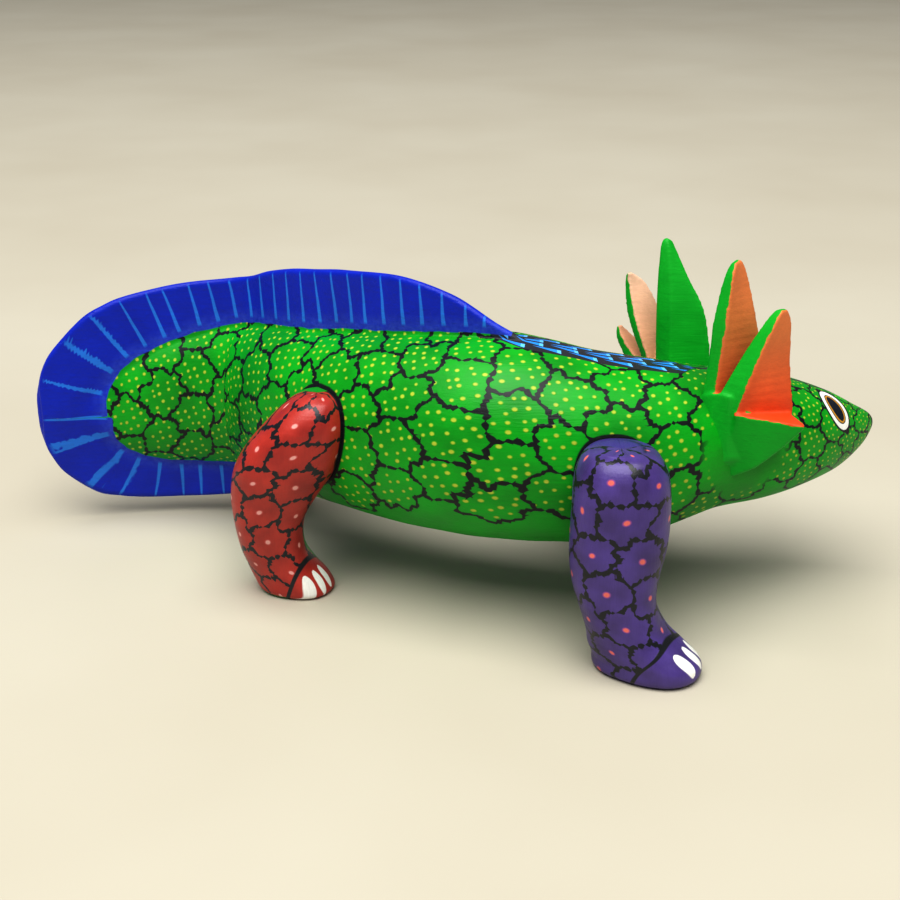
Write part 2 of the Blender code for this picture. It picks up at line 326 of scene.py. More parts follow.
@dataclass(frozen=True)
class BrushedAcrylic:
    """Satin craft acrylic, brushed by hand over sanded soft wood and lightly waxed."""

    roughness: float = 0.42      # satin: soft wide highlights, dull beside enamel
    ior: float = 1.49            # acrylic binder
    streak_length: float = 7.0   # mm, one pull of the brush
    streak_width: float = 0.45   # mm between bristle tracks
    grain: tuple[float, float, float] = (30.0, 4.0, 1.1)   # mm, wood grain that tells through the paint
    patch: float = 9.0           # mm across a patch of thicker or thinner paint
    patch_tone: tuple[float, float] = (0.90, 1.09)
    streak_tone: tuple[float, float] = (0.955, 1.045)
    patch_roughness: tuple[float, float] = (-0.06, 0.08)
    gloss: float = 0.3           # strength of the sheen, 0.5 is bare acrylic
    relief: float = 0.05         # mm from the lowest to the highest bristle track

    def surface(
        self, tree: Tree, colour: Socket, paint_height: Socket | None, streak_turn: float = 0.0
    ) -> None:
        """Finishes a paint recipe with brush streaks, grain, wear and satin gloss.

        Args:
            tree: the material's node tree.
            colour: the painted colour.
            paint_height: extra height of raised paint in millimetres, or None.
            streak_turn: turn of the brush pulls about y, in radians.
        """
        place = add(tree, Node.COORDINATES, out="Object")
        place = add(tree, Node.VECTOR, {0: place, "Scale": 1 / MM}, operation="SCALE")
        turned = add(tree, Node.MAPPING, {"Vector": place, "Rotation": (0.0, streak_turn, 0.0)})
        # Bristle tracks: long along the pull, narrow across it.
        track = (1 / self.streak_length, 1 / self.streak_width, 1 / self.streak_width)
        pulled = add(tree, Node.MAPPING, {"Vector": turned, "Scale": track})
        streaks = add(tree, Node.NOISE, {"Vector": pulled, "Scale": 1.0, "Detail": 2.0, "Roughness": 0.6})
        # Grain of the wood under the paint, straight along the billet.
        straight = add(tree, Node.MAPPING, {"Vector": place, "Scale": tuple(1 / g for g in self.grain)})
        grain = add(tree, Node.NOISE, {"Vector": straight, "Scale": 1.0, "Detail": 3.0, "Roughness": 0.55})
        # Patches of thick and thin paint.
        soft = {"Vector": place, "Scale": 1 / self.patch, "Detail": 3.0, "Roughness": 0.5}
        patches = add(tree, Node.NOISE, soft)
        tone = add(tree, Node.RANGE, (patches, 0.3, 0.7, *self.patch_tone))
        tone_streak = add(tree, Node.RANGE, (streaks, 0.3, 0.7, *self.streak_tone))
        tone = add(tree, Node.MATH, (tone, tone_streak), operation="MULTIPLY")
        toned = add(tree, Node.VECTOR, {0: colour, "Scale": tone}, operation="SCALE")
        height = add(tree, Node.MATH, (streaks, self.relief), operation="MULTIPLY")
        height = add(tree, Node.MATH, (grain, self.relief * 1.6, height), operation="MULTIPLY_ADD")
        if paint_height is not None:
            height = add(tree, Node.MATH, (height, paint_height), operation="ADD")
        bump = add(tree, Node.BUMP, {"Height": height, "Strength": 1.0, "Distance": MM})
        low, high = (self.roughness + change for change in self.patch_roughness)
        dullness = add(tree, Node.RANGE, (patches, 0.3, 0.7, low, high))
        shader = add(tree, Node.SHADER, {
            "Base Color": toned, "Roughness": dullness, "Normal": bump,
            "IOR": self.ior, "Specular IOR Level": self.gloss,
        })
        add(tree, Node.OUTPUT, {"Surface": shader})


@dataclass(frozen=True)
class Outlines:
    """Scalloped black outlines round painted scales, drawn freehand with a fine brush."""

    cell: float = 13.4        # mm from scale to scale
    bend: float = 3.2         # mm that the rows of scales stray over a few scales
    lobe: float = 2.4         # mm from one scallop of the edge to the next
    ragged: float = 0.35      # mm that the brush wanders
    line: float = 0.66        # mm, half the brush line's width
    turn: float = 0.45        # radians that the rows lean
    wander: float = 2.6       # mm over which the brush wanders to and fro
    uneven: float = 0.6       # how unevenly the scallops are set, from 0 to 1
    stray: float = 26.0       # mm over which the rows stray to and fro

    def draw(self, tree: Tree, place: Socket) -> dict[str, Socket]:
        """Draws the outlines.

        Every scallop is a small cell that belongs to the scale that its middle lies in, and a line runs
        wherever two neighbouring scallops belong to different scales.

        Args:
            tree: the material's node tree.
            place: the point on the skin in millimetres.

        Returns:
            edge: the distance to the nearest scallop's edge; apart: 1 where that edge parts two scales;
            first and second: the middles of the scales on either side of it.
        """
        soft = {"Vector": place, "Scale": 1 / self.wander, "Detail": 0.0}
        wander = add(tree, Node.NOISE, soft, out="Color", noise_dimensions="2D")
        wander = add(tree, Node.VECTOR, (wander, (0.5, 0.5, 0.5)), operation="SUBTRACT")
        wander = add(tree, Node.VECTOR, {0: wander, "Scale": self.ragged * 2}, operation="SCALE")
        moved = add(tree, Node.VECTOR, (place, wander), operation="ADD")
        scallop = {"Vector": moved, "Scale": 1 / self.lobe, "Randomness": self.uneven}
        edge = add(tree, Node.VORONOI, scallop, voronoi_dimensions="2D", feature="DISTANCE_TO_EDGE")
        edge = add(tree, Node.MATH, (edge, self.lobe), operation="MULTIPLY")
        middles = []
        for rank in ("F1", "F2"):
            spot = add(tree, Node.VORONOI, scallop, out="Position", voronoi_dimensions="2D", feature=rank)
            middles.append(self.scale_at(tree, spot)["middle"])
        apart = add(tree, Node.VECTOR, tuple(middles), out="Value", operation="DISTANCE")
        apart = add(tree, Node.MATH, (apart, 0.5), operation="GREATER_THAN")
        return {"edge": edge, "apart": apart, "first": middles[0], "second": middles[1]}

    def scale_at(self, tree: Tree, place: Socket) -> dict[str, Socket]:
        """Finds the scale that a place lies in, on a honeycomb whose rows stray a little.

        Args:
            tree: the material's node tree.
            place: a point on the skin in millimetres.

        Returns:
            middle: the scale's middle; away: how far the place lies from it; room: how far it lies inside
            the scale's edge.
        """
        soft = {"Vector": place, "Scale": 1 / self.stray, "Detail": 1.0}
        stray = add(tree, Node.NOISE, soft, out="Color", noise_dimensions="2D")
        stray = add(tree, Node.VECTOR, (stray, (0.5, 0.5, 0.5)), operation="SUBTRACT")
        stray = add(tree, Node.VECTOR, {0: stray, "Scale": self.bend * 2}, operation="SCALE")
        strayed = add(tree, Node.VECTOR, (place, stray), operation="ADD")
        size = 1 / self.cell
        lean = {"Vector": strayed, "Rotation": (0.0, 0.0, self.turn), "Scale": (size, size, 0.0)}
        turned = add(tree, Node.MAPPING, lean)
        # A honeycomb is two square-cornered lattices, one set in the gaps of the other.
        step = (1.0, math.sqrt(3.0), 0.0)
        middles, offs, reaches = [], [], []
        for shift in (0.0, 0.5):
            moved = add(tree, Node.VECTOR, (turned, tuple(s * (0.5 - shift) for s in step)), operation="ADD")
            held = add(tree, Node.VECTOR, (moved, (step[0], step[1], 1.0)), operation="SNAP")
            middle = add(tree, Node.VECTOR, (held, tuple(s * shift for s in step)), operation="ADD")
            off = add(tree, Node.VECTOR, (turned, middle), operation="SUBTRACT")
            middles.append(middle)
            offs.append(off)
            reaches.append(add(tree, Node.VECTOR, (off,), out="Value", operation="LENGTH"))
        second = add(tree, Node.MATH, (reaches[0], reaches[1]), operation="GREATER_THAN")
        off = add(tree, Node.MIX, {0: second, 4: offs[0], 5: offs[1]}, out=1, data_type="VECTOR")
        middle = add(tree, Node.MIX, {0: second, 4: middles[0], 5: middles[1]}, out=1, data_type="VECTOR")
        off = add(tree, Node.VECTOR, (off,), operation="ABSOLUTE")
        corner = (0.5, math.sqrt(0.75), 0.0)
        slant = add(tree, Node.VECTOR, (off, corner), out="Value", operation="DOT_PRODUCT")
        flat = add(tree, Node.SEPARATE, (off,), out="X")
        reach = add(tree, Node.MATH, (slant, flat), operation="MAXIMUM")
        room = add(tree, Node.MATH, (0.5, reach), operation="SUBTRACT")
        room = add(tree, Node.MATH, (room, self.cell), operation="MULTIPLY")
        away = add(tree, Node.VECTOR, (off,), out="Value", operation="LENGTH")
        away = add(tree, Node.MATH, (away, self.cell), operation="MULTIPLY")
        back = {"Vector": middle, "Rotation": (0.0, 0.0, -self.turn), "Scale": (self.cell, self.cell, 0.0)}
        middle = add(tree, Node.MAPPING, back)
        return {"middle": middle, "away": away, "room": room}


@dataclass(frozen=True)
class SkinPaint:
    """The body's paint: green scales with dots, plain belly, blue rayed fin, patterned back stripe, eyes.

    Hand-painted acrylic: saturated, opaque, with slightly uneven brush lines.
    """

    green: str = "#03a21a"
    green_deep: str = "#038c14"
    black: str = "#101316"
    dot: str = "#b2bd3c"
    dot_rim: str = "#74a81e"
    blue: str = "#0326b0"
    # Lighter blue, painted along the fin's root as the highlight where the carved fillet catches the light.
    blue_root_highlight: str = "#3a56c8"
    ray: str = "#2478d8"
    charcoal: str = "#2b2c33"
    azure: str = "#2a8ee2"
    azure_light: str = "#66bdf2"
    white: str = "#f2f1ea"
    gold: str = "#c8902c"
    pupil: str = "#101726"
    dot_step: float = 2.8        # mm from dot to dot
    dot_radius: float = 0.55     # mm
    clear: float = 1.05          # mm that a dot's middle keeps from its scale's edge
    dot_uneven: float = 0.42     # how unevenly the dots are set, from 0 to 1
    dot_turn: float = 0.35       # radians that the rows of dots lean
    belly_top: float = -15.0     # mm below the flank's middle where scales stop
    belly_gone: float = -60.0    # the same by the tail, where the scales run down to the fin
    belly_end: tuple[float, float] = (172.0, 208.0)   # mm from the snout over which the belly gives out
    ray_step: float = 6.3        # mm from ray to ray along the fin's root
    ray_half: tuple[float, float] = (0.66, 0.28)   # mm, half a ray's width at its root and its end
    stripe_module: float = 9.3   # mm, one tooth of the back stripe
    teeth: tuple[tuple[float, float], ...] = ((0.5, 0.0), (3.1, 0.5))   # each row's place across, and shift
    tooth_share: tuple[float, float] = (0.06, 0.88)     # where a tooth begins and ends in its module
    tooth_light: float = 0.17    # where the light stroke at its head ends
    tooth_height: tuple[float, float] = (2.2, -0.05)    # mm at its head and its point
    gold_ring: tuple[float, float] = (-0.30, -0.84)     # mm inside the iris
    joint_line: float = 1.1      # mm of black painted round each leg
    snout_tip: float = 1.5       # mm of black on the nose
    paint_rise: float = 0.035    # mm that dots and lines stand proud
    outlines: Outlines = Outlines()
    acrylic: BrushedAcrylic = BrushedAcrylic()

    def make(self) -> bpy.types.Material:
        """Mixes the body's finish.

        Returns:
            The material.
        """
        material, tree = start_finish("hand_brushed_acrylic_on_carved_copal_body")
        skin = add(tree, Node.ATTRIBUTE, out="Vector", attribute_name="skin")
        left = add(tree, Node.ATTRIBUTE, out="Fac", attribute_name="left")
        shift = add(tree, Node.VECTOR, {0: (FLANK_SHIFT, 0.0, 0.0), "Scale": left}, operation="SCALE")
        place = add(tree, Node.VECTOR, (skin, shift), operation="ADD")
        drawn = self.outlines.draw(tree, place)
        plain = [self.is_plain(tree, drawn[name], left) for name in ("first", "second")]
        both = add(tree, Node.MATH, (plain[0], plain[1]), operation="MULTIPLY")
        outlined = add(tree, Node.MATH, (1.0, both), operation="SUBTRACT")

        marks = add(tree, Node.ATTRIBUTE, out="Vector", attribute_name="marks")
        bare_patch = add(tree, Node.SEPARATE, (marks,), out="Z")
        painted = add(tree, Node.RANGE, (bare_patch, -1.2, 1.6, 0.0, 1.0))
        colour, dots = self.scales(tree, place, plain[0], painted)
        wobble = add(tree, Node.NOISE, {"Vector": place, "Scale": 1 / 6.0}, noise_dimensions="2D")
        width = add(tree, Node.MATH, (wobble, 0.5, self.outlines.line - 0.25), operation="MULTIPLY_ADD")
        lines = all_of(tree, inside(tree, drawn["edge"], width, 5.0), drawn["apart"], outlined, painted)
        colour = over(tree, lines, colour, self.black)
        joint = add(tree, Node.ATTRIBUTE, out="Fac", attribute_name="joint")
        colour = over(tree, inside(tree, joint, self.joint_line, 3.0), colour, self.black)
        colour = self.stripe(tree, colour, skin, marks)
        colour = self.fin(tree, colour)
        colour = self.eye(tree, colour)
        height = add(tree, Node.MATH, (dots, lines), operation="ADD")
        height = add(tree, Node.MATH, (height, self.paint_rise), operation="MULTIPLY")
        self.acrylic.surface(tree, colour, height)
        return material

    def is_plain(self, tree: Tree, middle: Socket, left: Socket) -> Socket:
        """Says whether a scale lies on the plain belly.

        Args:
            tree: the material's node tree.
            middle: the scale's middle in millimetres.
            left: 1 on the left flank.

        Returns:
            1 where it does.
        """
        along = add(tree, Node.SEPARATE, (middle,), out="X")
        along = add(tree, Node.MATH, (left, -FLANK_SHIFT, along), operation="MULTIPLY_ADD")
        up = add(tree, Node.SEPARATE, (middle,), out="Y")
        # Behind the rear legs the scales run down to the fin.
        limit = add(tree, Node.RANGE, (along, *self.belly_end, self.belly_top, self.belly_gone))
        return add(tree, Node.MATH, (up, limit), operation="LESS_THAN")

    def scales(
        self, tree: Tree, place: Socket, plain: Socket, painted: Socket
    ) -> tuple[Socket, Socket]:
        """Paints the green ground and the dots that keep clear of the outlines.

        Args:
            tree: the material's node tree.
            place: the point on the skin in millimetres.
            plain: 1 on the plain belly.
            painted: 0 where the dots fade out round the gills.

        Returns:
            The colour, and where the dots are.
        """
        turned = add(tree, Node.MAPPING, {"Vector": place, "Rotation": (0.0, 0.0, self.dot_turn)})
        shared = {"Vector": turned, "Scale": 1 / self.dot_step, "Randomness": self.dot_uneven}
        gap = add(tree, Node.VORONOI, shared, voronoi_dimensions="2D", feature="F1")
        dot = gap.node
        gap = add(tree, Node.MATH, (gap, self.dot_step), operation="MULTIPLY")
        turn_back = {"Vector": dot.outputs["Position"], "Rotation": (0.0, 0.0, -self.dot_turn)}
        middle = add(tree, Node.MAPPING, turn_back)
        room = self.outlines.scale_at(tree, middle)["room"]
        clear = add(tree, Node.MATH, (room, self.clear), operation="GREATER_THAN")
        chance = add(tree, Node.SEPARATE, (dot.outputs["Color"],), out="X")
        radius = add(tree, Node.MATH, (chance, 0.16, self.dot_radius - 0.08), operation="MULTIPLY_ADD")
        rim = inside(tree, gap, radius, 5.0)
        core_radius = add(tree, Node.MATH, (radius, 0.16), operation="SUBTRACT")
        core = inside(tree, gap, core_radius, 5.0)
        scaled = add(tree, Node.MATH, (1.0, plain), operation="SUBTRACT")
        shown = all_of(tree, scaled, clear, painted)
        rim = all_of(tree, rim, shown)
        core = all_of(tree, core, shown)
        soft = {"Vector": place, "Scale": 1 / 20.0, "Detail": 2.0}
        clouds = add(tree, Node.NOISE, soft, noise_dimensions="2D")
        clouds = add(tree, Node.RANGE, (clouds, 0.35, 0.65))
        colour = over(tree, clouds, linear(self.green), self.green_deep)
        colour = over(tree, rim, colour, self.dot_rim)
        return over(tree, core, colour, self.dot), rim

    def stripe(self, tree: Tree, below: Socket, skin: Socket, marks: Socket) -> Socket:
        """Paints the charcoal stripe on the back, with two rows of slender azure teeth.

        Args:
            tree: the material's node tree.
            below: the paint under it.
            skin: the point on the skin in millimetres.
            marks: how far the point lies outside the stripe, and how far from the back's middle.

        Returns:
            The colour.
        """
        along = add(tree, Node.SEPARATE, (skin,), out="X")
        gap = add(tree, Node.SEPARATE, (marks,), out="X")
        across = add(tree, Node.SEPARATE, (marks,), out="Y")
        colour = over(tree, inside(tree, gap, 0.0), below, self.charcoal)
        begin, end = self.tooth_share
        for row, shift in self.teeth:
            turn = add(tree, Node.MATH, (along, 1 / self.stripe_module, shift), operation="MULTIPLY_ADD")
            turn = add(tree, Node.MATH, (turn,), operation="FRACT")
            # A tooth is blunt towards the head and runs to a point towards the tail.
            tooth = add(tree, Node.RANGE, (turn, begin, end, *self.tooth_height))
            height = add(tree, Node.MATH, (across, row), operation="SUBTRACT")
            low = add(tree, Node.MATH, (height, 0.0), operation="GREATER_THAN")
            begun = add(tree, Node.MATH, (turn, begin), operation="GREATER_THAN")
            within = inside(tree, gap, -0.5, 5.0)
            mask = all_of(tree, inside(tree, height, tooth, 8.0), low, begun, within)
            colour = over(tree, mask, colour, self.azure)
            accent = add(tree, Node.MATH, (turn, self.tooth_light), operation="LESS_THAN")
            colour = over(tree, all_of(tree, accent, mask), colour, self.azure_light)
        return colour

    def fin(self, tree: Tree, below: Socket) -> Socket:
        """Paints the fin blue, with a painted highlight of lighter blue along its root, and an azure ray
        every few millimetres.

        Args:
            tree: the material's node tree.
            below: the paint under it.

        Returns:
            The colour.
        """
        spread = add(tree, Node.ATTRIBUTE, out="Vector", attribute_name="fin")
        along = add(tree, Node.SEPARATE, (spread,), out="X")
        out = add(tree, Node.SEPARATE, (spread,), out="Y")
        full = add(tree, Node.SEPARATE, (spread,), out="Z")
        root = add(tree, Node.NOISE, {"Vector": spread, "Scale": 1 / 5.0, "Detail": 1.0})
        edge = add(tree, Node.MATH, (root, 1.0, -0.9), operation="MULTIPLY_ADD")
        body = inside(tree, out, edge, 3.5)
        blue = add(tree, Node.MATH, (1.0, body), operation="SUBTRACT")
        # Painted highlight: the fin runs lighter blue along its root, where the carved fillet catches the
        # light.
        base = add(tree, Node.RANGE, (out, 0.5, 4.5, 0.65, 0.0))
        streak = add(tree, Node.NOISE, {"Vector": spread, "Scale": 1 / 1.6, "Detail": 3.0})
        streak = add(tree, Node.RANGE, (streak, 0.35, 0.7, 0.3, 1.0))
        paint = over(tree, all_of(tree, base, streak), linear(self.blue), self.blue_root_highlight)
        turn = add(tree, Node.MATH, (along, 1 / self.ray_step), operation="MULTIPLY")
        number = add(tree, Node.MATH, (turn,), operation="FLOOR")
        part = add(tree, Node.MATH, (turn,), operation="FRACT")
        chance = add(tree, Node.RANDOM, {"W": number}, noise_dimensions="1D")
        middle = add(tree, Node.RANGE, (chance, 0.0, 1.0, 0.38, 0.62))
        lean = add(tree, Node.NOISE, {"Vector": spread, "Scale": 1 / 14.0})
        lean = add(tree, Node.RANGE, (lean, 0.3, 0.7, -0.03, 0.03))
        middle = add(tree, Node.MATH, (middle, lean), operation="ADD")
        gap = add(tree, Node.MATH, (part, middle), operation="SUBTRACT")
        gap = add(tree, Node.MATH, (gap,), operation="ABSOLUTE")
        gap = add(tree, Node.MATH, (gap, self.ray_step), operation="MULTIPLY")
        # How far out along its ray, from the rounded start to the drawn-out end near the edge.
        share = add(tree, Node.MATH, (out, full), operation="DIVIDE")
        width = add(tree, Node.RANGE, (share, 0.06, 0.95, *self.ray_half))
        started = add(tree, Node.RANGE, (out, 1.0, 1.8, 0.0, 1.0))
        ended = add(tree, Node.RANGE, (share, 0.90, 0.97, 1.0, 0.0))
        ray = all_of(tree, inside(tree, gap, width, 4.5), started, ended)
        paint = over(tree, ray, paint, self.ray)
        return over(tree, blue, below, paint)

    def eye(self, tree: Tree, below: Socket) -> Socket:
        """Paints the eye: black outline with corners, white, black ring, gold ring and dark pupil.

        Args:
            tree: the material's node tree.
            below: the paint under it.

        Returns:
            The colour.
        """
        rings = add(tree, Node.ATTRIBUTE, out="Vector", attribute_name="eye")
        outer = add(tree, Node.SEPARATE, (rings,), out="X")
        inner = add(tree, Node.SEPARATE, (rings,), out="Y")
        snout = add(tree, Node.SEPARATE, (rings,), out="Z")
        colour = over(tree, inside(tree, snout, self.snout_tip, 2.0), below, self.black)
        lids = add(tree, Node.ATTRIBUTE, out="Fac", attribute_name="lids")
        colour = over(tree, inside(tree, lids, 0.0), colour, self.black)
        colour = over(tree, inside(tree, outer, -0.12), colour, self.white)
        colour = over(tree, inside(tree, inner, 0.0), colour, self.pupil)
        gold, pupil = (inside(tree, inner, edge) for edge in self.gold_ring)
        return over(tree, pupil, over(tree, gold, colour, self.gold), self.pupil)


@dataclass(frozen=True)
class LegPaint:
    """A leg's paint: one strong colour, black outlines, a ringed dot in each scale, white claws.

    Hand-painted acrylic: the same satin as the body, with brush streaks down the leg.
    """

    name: str
    ground: str
    ground_deep: str
    dot: str
    dot_rim: str
    inner: str
    black: str = "#15171c"
    white: str = "#f0efe8"
    dot_radius: float = 0.68      # mm
    rim_radius: float = 0.95      # mm
    ankle_line: float = 0.6       # mm, half the line between the last scale and the toes
    joint_line: float = 0.8       # mm of black painted where the leg meets the body
    paint_rise: float = 0.03      # mm that the lines stand proud
    outlines: Outlines = Outlines(cell=11.6, bend=2.6, lobe=2.2, line=0.76, turn=0.2)
    acrylic: BrushedAcrylic = BrushedAcrylic(roughness=0.38, gloss=0.5)

    def make(self) -> bpy.types.Material:
        """Mixes a leg's finish.

        Returns:
            The material.
        """
        material, tree = start_finish(self.name)
        place = add(tree, Node.ATTRIBUTE, out="Vector", attribute_name="skin")
        marks = add(tree, Node.ATTRIBUTE, out="Vector", attribute_name="marks")
        toes = add(tree, Node.SEPARATE, (marks,), out="X")
        claw = add(tree, Node.SEPARATE, (marks,), out="Y")
        inner = add(tree, Node.SEPARATE, (marks,), out="Z")
        drawn = self.outlines.draw(tree, place)
        clouds = add(tree, Node.NOISE, {"Vector": place, "Scale": 1 / 9.0, "Detail": 2.0})
        clouds = add(tree, Node.RANGE, (clouds, 0.35, 0.65))
        colour = over(tree, clouds, linear(self.ground), self.ground_deep)
        scaled = inside(tree, toes, 0.0, 8.0)
        away = self.outlines.scale_at(tree, place)["away"]
        for radius, paint in ((self.rim_radius, self.dot_rim), (self.dot_radius, self.dot)):
            dot = all_of(tree, inside(tree, away, radius, 4.0), scaled)
            colour = over(tree, dot, colour, paint)
        wobble = add(tree, Node.NOISE, {"Vector": place, "Scale": 1 / 5.0}, noise_dimensions="2D")
        width = add(tree, Node.MATH, (wobble, 0.5, self.outlines.line - 0.25), operation="MULTIPLY_ADD")
        lines = all_of(tree, inside(tree, drawn["edge"], width, 4.5), drawn["apart"], scaled)
        ankle = add(tree, Node.MATH, (toes,), operation="ABSOLUTE")
        joint = add(tree, Node.ATTRIBUTE, out="Fac", attribute_name="joint")
        for line in (inside(tree, ankle, self.ankle_line, 4.5), inside(tree, joint, self.joint_line, 3.0)):
            lines = add(tree, Node.MATH, (lines, line), operation="MAXIMUM")
        colour = over(tree, lines, colour, self.black)
        colour = over(tree, inside(tree, inner, 0.0, 2.5), colour, self.inner)
        colour = over(tree, inside(tree, claw, 0.0, 5.0), colour, self.white)
        height = add(tree, Node.MATH, (lines, self.paint_rise), operation="MULTIPLY")
        self.acrylic.surface(tree, colour, height, math.radians(90))
        return material


@dataclass(frozen=True)
class GillPaint:
    """A gill fan's paint: green backs and edges, orange palms with painted shade low in the notches, over
    knife-cut wood.

    Brushed acrylic over cuts that weren't sanded, so fine cross marks catch the light.
    """

    name: str
    # Deeper orange, painted low on the palms as the shade in the notches between the prongs.
    palm_painted_shade: str
    palm_light: str
    green: str = "#05aa28"
    palm_shade_fade: tuple[float, float] = (2.0, 24.0)   # mm over which the palms turn from deep to light
    acrylic: BrushedAcrylic = BrushedAcrylic(roughness=0.5, relief=0.045, streak_width=0.5)

    def make(self) -> bpy.types.Material:
        """Mixes a gill fan's finish.

        Returns:
            The material.
        """
        material, tree = start_finish(self.name)
        palm = add(tree, Node.ATTRIBUTE, out="Fac", attribute_name="palm")
        height = add(tree, Node.ATTRIBUTE, out="Fac", attribute_name="rise")
        place = add(tree, Node.COORDINATES, out="Object")
        place = add(tree, Node.VECTOR, {0: place, "Scale": 1 / MM}, operation="SCALE")
        rough = add(tree, Node.NOISE, {"Vector": place, "Scale": 1 / 2.0, "Detail": 2.0})
        rough = add(tree, Node.RANGE, (rough, 0.3, 0.7, -0.25, 0.35))
        edge = add(tree, Node.MATH, (palm, rough), operation="ADD")
        mask = add(tree, Node.MATH, (edge, 4.0, 0.5), operation="MULTIPLY_ADD", use_clamp=True)
        # Painted shade: the palms run from deep orange low in the notches to lighter orange up the prongs.
        rise = add(tree, Node.RANGE, (height, *self.palm_shade_fade))
        orange = over(tree, rise, linear(self.palm_painted_shade), self.palm_light)
        colour = over(tree, mask, linear(self.green), orange)
        self.acrylic.surface(tree, colour, None)
        return material


@dataclass(frozen=True)
class BareCopal:
    """Turned copal dowel, left bare: pale tan, with fine straight pores and no gloss."""

    colour: str = "#c9a878"
    dark: str = "#a8824f"
    roughness: float = 0.7
    ior: float = 1.53                                    # wood fibre
    pores: tuple[float, float, float] = (0.4, 8.0, 0.4)  # mm, drawn long along the pin

    def make(self) -> bpy.types.Material:
        """Mixes the pins' finish.

        Returns:
            The material.
        """
        material, tree = start_finish("bare_turned_copal")
        place = add(tree, Node.COORDINATES, out="Object")
        place = add(tree, Node.MAPPING, {"Vector": place, "Scale": tuple(1 / (p * MM) for p in self.pores)})
        pores = add(tree, Node.NOISE, {"Vector": place, "Scale": 1.0, "Detail": 3.0})
        mask = add(tree, Node.RANGE, (pores, 0.35, 0.65))
        colour = over(tree, mask, linear(self.colour), self.dark)
        bump = add(tree, Node.BUMP, {"Height": pores, "Strength": 0.4, "Distance": 0.1 * MM})
        shader = add(tree, Node.SHADER, {
            "Base Color": colour, "Roughness": self.roughness, "Normal": bump, "IOR": self.ior,
        })
        add(tree, Node.OUTPUT, {"Surface": shader})
        return material


# --------------------------------------------------------------------------------------------- the body

# Spine x, spine y, spine height, core half height, core half width, fin top, fin bottom.
BODY_PLAN: tuple[Row, ...] = (
    (-128.4, 49.5, 37.1, 0.3, 0.5, 40.4, 33.8),
    (-127.9, 50.0, 36.9, 1.0, 0.5, 46.0, 28.0),
    (-126.2, 50.5, 36.4, 2.0, 0.6, 51.9, 22.6),
    (-122.4, 51.5, 35.7, 3.4, 1.2, 58.1, 15.9),
    (-113.6, 53.5, 35.3, 7.0, 2.6, 67.0, 8.9),
    (-106.6, 55.0, 35.7, 10.8, 4.4, 71.0, 6.9),
    (-101.3, 56.0, 36.6, 14.4, 5.8, 73.1, 6.0),
    (-91.9, 57.0, 37.8, 18.4, 7.5, 75.5, 5.6),
    (-79.1, 57.0, 39.9, 21.0, 9.5, 77.9, 6.2),
    (-66.1, 55.0, 41.8, 22.6, 11.5, 79.7, 7.8),
    (-60.0, 51.5, 42.4, 23.4, 13.0, 81.2, 10.0),
    (-54.1, 46.0, 43.2, 23.9, 15.0, 84.2, 12.7),
    (-47.2, 39.5, 44.0, 24.5, 17.5, 86.6, 15.2),
    (-38.9, 32.0, 44.8, 25.3, 20.0, 88.6, 17.0),
    (-29.4, 24.5, 46.1, 26.3, 22.5, 90.3, 19.0),
    (-14.3, 12.5, 48.2, 27.3, 25.0, 92.0, 22.0),
    (0.0, 4.0, 49.6, 28.2, 26.6, 89.2, 24.0),
    (13.9, -2.0, 50.4, 28.4, 27.2, 81.8, 26.0),
    (27.6, -4.0, 49.6, 27.6, 27.0, 75.0, 26.0),
    (41.6, -3.5, 47.9, 26.0, 26.0, 70.0, 26.0),
    (55.7, -1.0, 47.8, 23.4, 23.8, 66.0, 27.0),
    (70.3, 3.5, 47.9, 20.0, 21.0, 61.5, 31.2),
    (85.5, 9.0, 46.7, 18.2, 18.8, 56.6, 32.0),
    (98.0, 13.5, 45.7, 15.5, 15.8, 51.9, 36.4),
    (108.8, 17.5, 44.6, 11.9, 11.6, 47.3, 41.0),
    (117.1, 20.5, 44.4, 6.9, 7.2, 45.6, 43.0),
    (121.6, 22.2, 45.1, 3.4, 3.6, 45.4, 44.4),
    (122.7, 22.8, 45.4, 1.5, 1.5, 45.5, 45.0),
)


